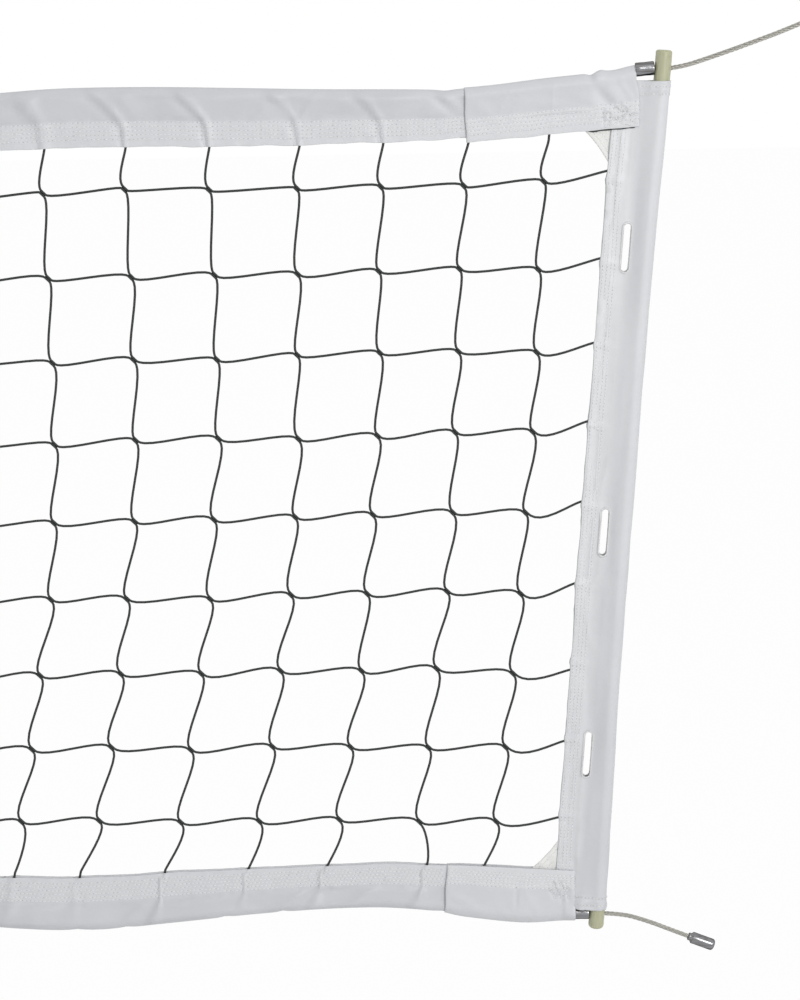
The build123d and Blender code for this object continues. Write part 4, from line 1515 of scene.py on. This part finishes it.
# ---------------------------------------------------------------------------------------------------
# Stitching. White bonded polyester thread: lockstitch rows through the tapes, bands and hems, close
# buttonhole stitches round the strap slots, and hard tacks at the corners.
# Each seam's (stitch pitch, stitch length, thread diameter)
ROW_STITCH = (0.0050, 0.0043, 0.0010)
BAND_STITCH = (0.0042, 0.0034, 0.0010)
GUSSET_STITCH = (0.0034, 0.0028, 0.0008)
SLOT_STITCH = (0.0011, 0.0026, 0.0009)
TACK_STITCH = (0.0028, 0.0024, 0.0014)
BEAD_RING = 0.34  # from a stitch's middle to where it narrows, as a share of its length
HOLE_AT = 0.60  # from its middle to the needle's hole
HOLE_HALF = 0.13


def thread_finish(tree):
    """White thread, and the shade in the needle's holes."""
    here = tree.here()
    fibres = tree.noise(here, 1600.0, 2.0)
    cloud = tree.noise(here, 30.0, 3.0)
    colour = tree.mix(cloud, (0.78, 0.78, 0.785, 1), (0.92, 0.92, 0.91, 1))
    hole = tree.add("ShaderNodeAttribute", {"attribute_name": "hole"}, output=2)
    colour = tree.mix(hole, colour, (0.46, 0.46, 0.47, 1))
    return {"Base Color": colour, "Roughness": fibres * 0.2 + 0.45,
            "Normal": tree.relief(0.6, 0.0002, fibres)}


thread = principled("white_thread", {"Specular IOR Level": 0.4}, thread_finish)

# One stitch, one metre long and wide before it is scaled: a short ridge of thread, and past its end the
# needle's hole, as a dimple whose dark colour is painted shade
bead_points = [(-0.5, 0, 0)]
for along in (-BEAD_RING, BEAD_RING):
    bead_points += [(along, -0.5, -0.1), (along, 0, 0.5), (along, 0.5, -0.1)]
bead_points.append((0.5, 0, 0))
bead_faces = [(0, 2, 1), (0, 3, 2), (0, 1, 3), (1, 2, 5, 4), (2, 3, 6, 5), (3, 1, 4, 6),
              (7, 4, 5), (7, 5, 6), (7, 6, 4)]
ridge_count = len(bead_points)
bead_points += [(HOLE_AT - HOLE_HALF, 0, 0.05), (HOLE_AT, -0.6, 0.05), (HOLE_AT + HOLE_HALF, 0, 0.05),
                (HOLE_AT, 0.6, 0.05)]
bead_faces.append(tuple(range(ridge_count, ridge_count + 4)))
bead_mesh = bpy.data.meshes.new("stitch")
bead_mesh.from_pydata(bead_points, [], bead_faces)
# the hole's mark, where the thread material paints shade
hole_shade_mark = bead_mesh.attributes.new("hole", "FLOAT", "POINT")
hole_shade_mark.data.foreach_set("value", [0.0] * ridge_count + [1.0] * 4)
bead = new_object("stitch", bead_mesh)

sewing, (seam_lines, pitch, stitch_length, thread_width, crosswise, uneven, stitch_input,
         thread_input) = geometry_tree(
    "sewing", [("Pitch", "Float"), ("Stitch length", "Float"), ("Thread", "Float"), ("Crosswise", "Float"),
               ("Uneven", "Float"), ("Stitch", "Object"), ("Material", "Material")])
seam = sewing.add("GeometryNodeMeshToCurve", {}, [seam_lines])
seam = sewing.add("GeometryNodeResampleCurve", {"mode": "LENGTH"}, {"Curve": seam, "Length": pitch})
outwards = sewing.add("GeometryNodeInputNamedAttribute", {"data_type": "FLOAT_VECTOR"}, {"Name": "outwards"})
heading = sewing.add("GeometryNodeInputTangent")
sideways = sewing.add("ShaderNodeVectorMath", {"operation": "CROSS_PRODUCT"}, [outwards, heading])
wander = sewing.add("FunctionNodeRandomValue", {"data_type": "FLOAT"}, {2: uneven * -1, 3: uneven, 8: 5},
                    output=1)
turn_share = crosswise + wander
along_seam = sewing.add("ShaderNodeVectorMath", {"operation": "SCALE"},
                        {0: heading, 3: (turn_share * (pi / 2)).cosine()})
across_seam = sewing.add("ShaderNodeVectorMath", {"operation": "SCALE"},
                         {0: sideways, 3: (turn_share * (pi / 2)).sine()})
pointing = sewing.add("ShaderNodeVectorMath", {"operation": "ADD"}, [along_seam, across_seam])
turned_to = sewing.add("FunctionNodeAxesToRotation", {"primary_axis": "Z", "secondary_axis": "X"},
                       [outwards, pointing])
stretch = sewing.add("FunctionNodeRandomValue", {"data_type": "FLOAT"}, {2: 0.82, 3: 1.08, 8: 9}, output=1)
size_of = sewing.add("ShaderNodeCombineXYZ", {}, [stitch_length * stretch, thread_width, thread_width])
shape = sewing.add("GeometryNodeObjectInfo", {}, [stitch_input], output=4)
sewn = sewing.add("GeometryNodeInstanceOnPoints", {}, {"Points": seam, "Instance": shape,
                                                       "Rotation": turned_to, "Scale": size_of})
finish_tree(sewing, sewn, thread_input)


def sew(name, seams, stitch, crosswise=0.0, uneven=0.06):
    """Stitches along seams, which are pairs of a line on the cloth and the direction that it faces. They lie
    along the seams at 0 and across them at 1."""
    sewn_lines = line_object(name, [line for line, _ in seams])
    facing = np.concatenate([np.broadcast_to(facing, (len(line), 3)) for line, facing in seams])
    attribute = sewn_lines.data.attributes.new("outwards", "FLOAT_VECTOR", "POINT")
    attribute.data.foreach_set("vector", np.ascontiguousarray(facing, np.float32).ravel())
    pitch, length, diameter = stitch
    grow(sewn_lines, sewing, {"Pitch": pitch, "Stitch length": length, "Thread": diameter,
                              "Crosswise": crosswise, "Uneven": uneven, "Stitch": bead, "Material": thread})
    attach(sewn_lines, "net")


def row_line(line, count):
    """A row of stitching that starts its own part of a stitch in, so that no two rows keep step."""
    line = line.copy()
    line[0] += (line[1] - line[0]) * (count * 0.382 % 1)
    line[-1] += (line[-2] - line[-1]) * (count * 0.618 % 1)
    return line


def share_column(shares, share, face, inner):
    """Where in a folded strip's grid the line at that share of its height runs. Inner is how many lines of
    it are turned in."""
    k = int(np.argmin(np.abs(shares - share)))
    return inner + len(shares) - 1 - k if face < 0 else inner + len(shares) + k - 1


# Tapes and patches: rows along them, and a patch's rows stop short of its rims
for level, rows in (("top", TOP_STITCH_ROWS), ("bottom", BOTTOM_STITCH_ROWS)):
    kind = PATCH_KINDS[level]
    shares = tape_shares(rows)
    patch_shares = tape_shares(kind.rows, PATCH_BETWEEN)
    for face_name, face in (("front", -1), ("back", 1)):
        lines = []
        grid = tapes[level]
        bare = np.abs(grid[:, 0, 0]) < kind.near - 0.002
        for share in rows:
            cloth_line = grid[bare, share_column(shares, share, face, len(TURNED_IN))]
            lines.append(row_line(cloth_line, len(lines)))
        for side_name, _ in SIDES:
            for share in kind.rows:
                cloth_line = patches[level, side_name][2:-2, share_column(patch_shares, share, face, 0)]
                lines.append(row_line(cloth_line[2 * (len(lines) % 2):], len(lines)))
        sew(f"{level}_tape_stitches_{face_name}", [(line, (0, face, 0)) for line in lines], ROW_STITCH)

# Bands: four rows beside the netting and two round each hem, rows along the gussets' hollow edges, and
# close stitches across the slots' rims
HEM_STITCHES = (BAND_TOP + 0.0065, BAND_TOP + 0.0150, BAND_BOTTOM - 0.0065, BAND_BOTTOM - 0.0160)
LIFT = 0.001  # a step off the cloth, which shows the way that it faces
for side_name, side in SIDES:
    seams = []
    for face in (-1, 1):
        for count, towards_net in enumerate(BAND_STITCHES):
            down = np.linspace(BAND_TOP + 0.004 + 0.0011 * count, BAND_BOTTOM - 0.004, 420)
            line = on_band(np.full(len(down), face * over_at(-towards_net)), down, side)
            seams.append((line, (0, face, 0)))
    around = np.linspace(-edge_length + 0.004, edge_length - 0.004, 120)
    for drop in HEM_STITCHES:
        line = on_band(around, np.full(len(around), drop), side)
        lifted = on_band(around, np.full(len(around), drop), side, LIFT)
        seams.append((line, (lifted - line) / LIFT))
    sew(f"side_band_stitches_{side_name}", seams, BAND_STITCH)

    seams = []
    for level in ("top", "bottom"):
        for face in (-1, 1):
            for from_edge in (4, 8):
                line = gussets[level, side_name][2:-2, -from_edge] + (0, face * GUSSET_THICKNESS / 2, 0)
                seams.append((line, (0, face, 0)))
    sew(f"gusset_stitches_{side_name}", seams, GUSSET_STITCH)

    seams = []
    for face in (-1, 1):
        for drop in SLOT_DROPS:
            rim = slot_outline(face * slot_over, drop, 0.0008)
            rim = np.vstack([rim, rim[:1]])
            seams.append((on_band(rim[:, 0], rim[:, 1], side), (0, face, 0)))
    sew(f"slot_stitches_{side_name}", seams, SLOT_STITCH, crosswise=1.0)


def on_patch(level, side_name, side, face, route):
    """Points on a patch's outer face along a route, in millimetres from the rod's top hole."""
    grid = patches[level, side_name]
    count = (grid.shape[1] + 1) // 2
    cloth = grid[:, :count][:, ::-1] if face < 0 else grid[:, count - 1:]
    corners = np.array(route) * MILLIMETRE
    steps = np.linspace(0, 1, 7)[:-1, None]
    stretches = [a * (1 - steps) + b * steps for a, b in zip(corners, corners[1:])]
    places = np.vstack([*stretches, corners[-1:]])
    points = []
    for out, z in places:
        x = side * (top_hole.x + out)
        column = np.interp(x, cloth[:, -1, 0], np.arange(len(cloth)))
        before = int(min(column, len(cloth) - 2))
        across = cloth[before] * (before + 1 - column) + cloth[before + 1] * (column - before)
        order = np.argsort(across[:, 2])
        points.append((x, np.interp(z, across[order, 2], across[order, 1]), z))
    return np.array(points)


for side_name, side in SIDES:
    seams = []
    for level, kind in PATCH_KINDS.items():
        for face in (-1, 1):
            seams += [(on_patch(level, side_name, side, face, stroke), (0, face, 0))
                      for stroke in kind.strokes]
    sew(f"corner_tacks_{side_name}", seams, TACK_STITCH, uneven=0.10)

bpy.data.objects.remove(bead)
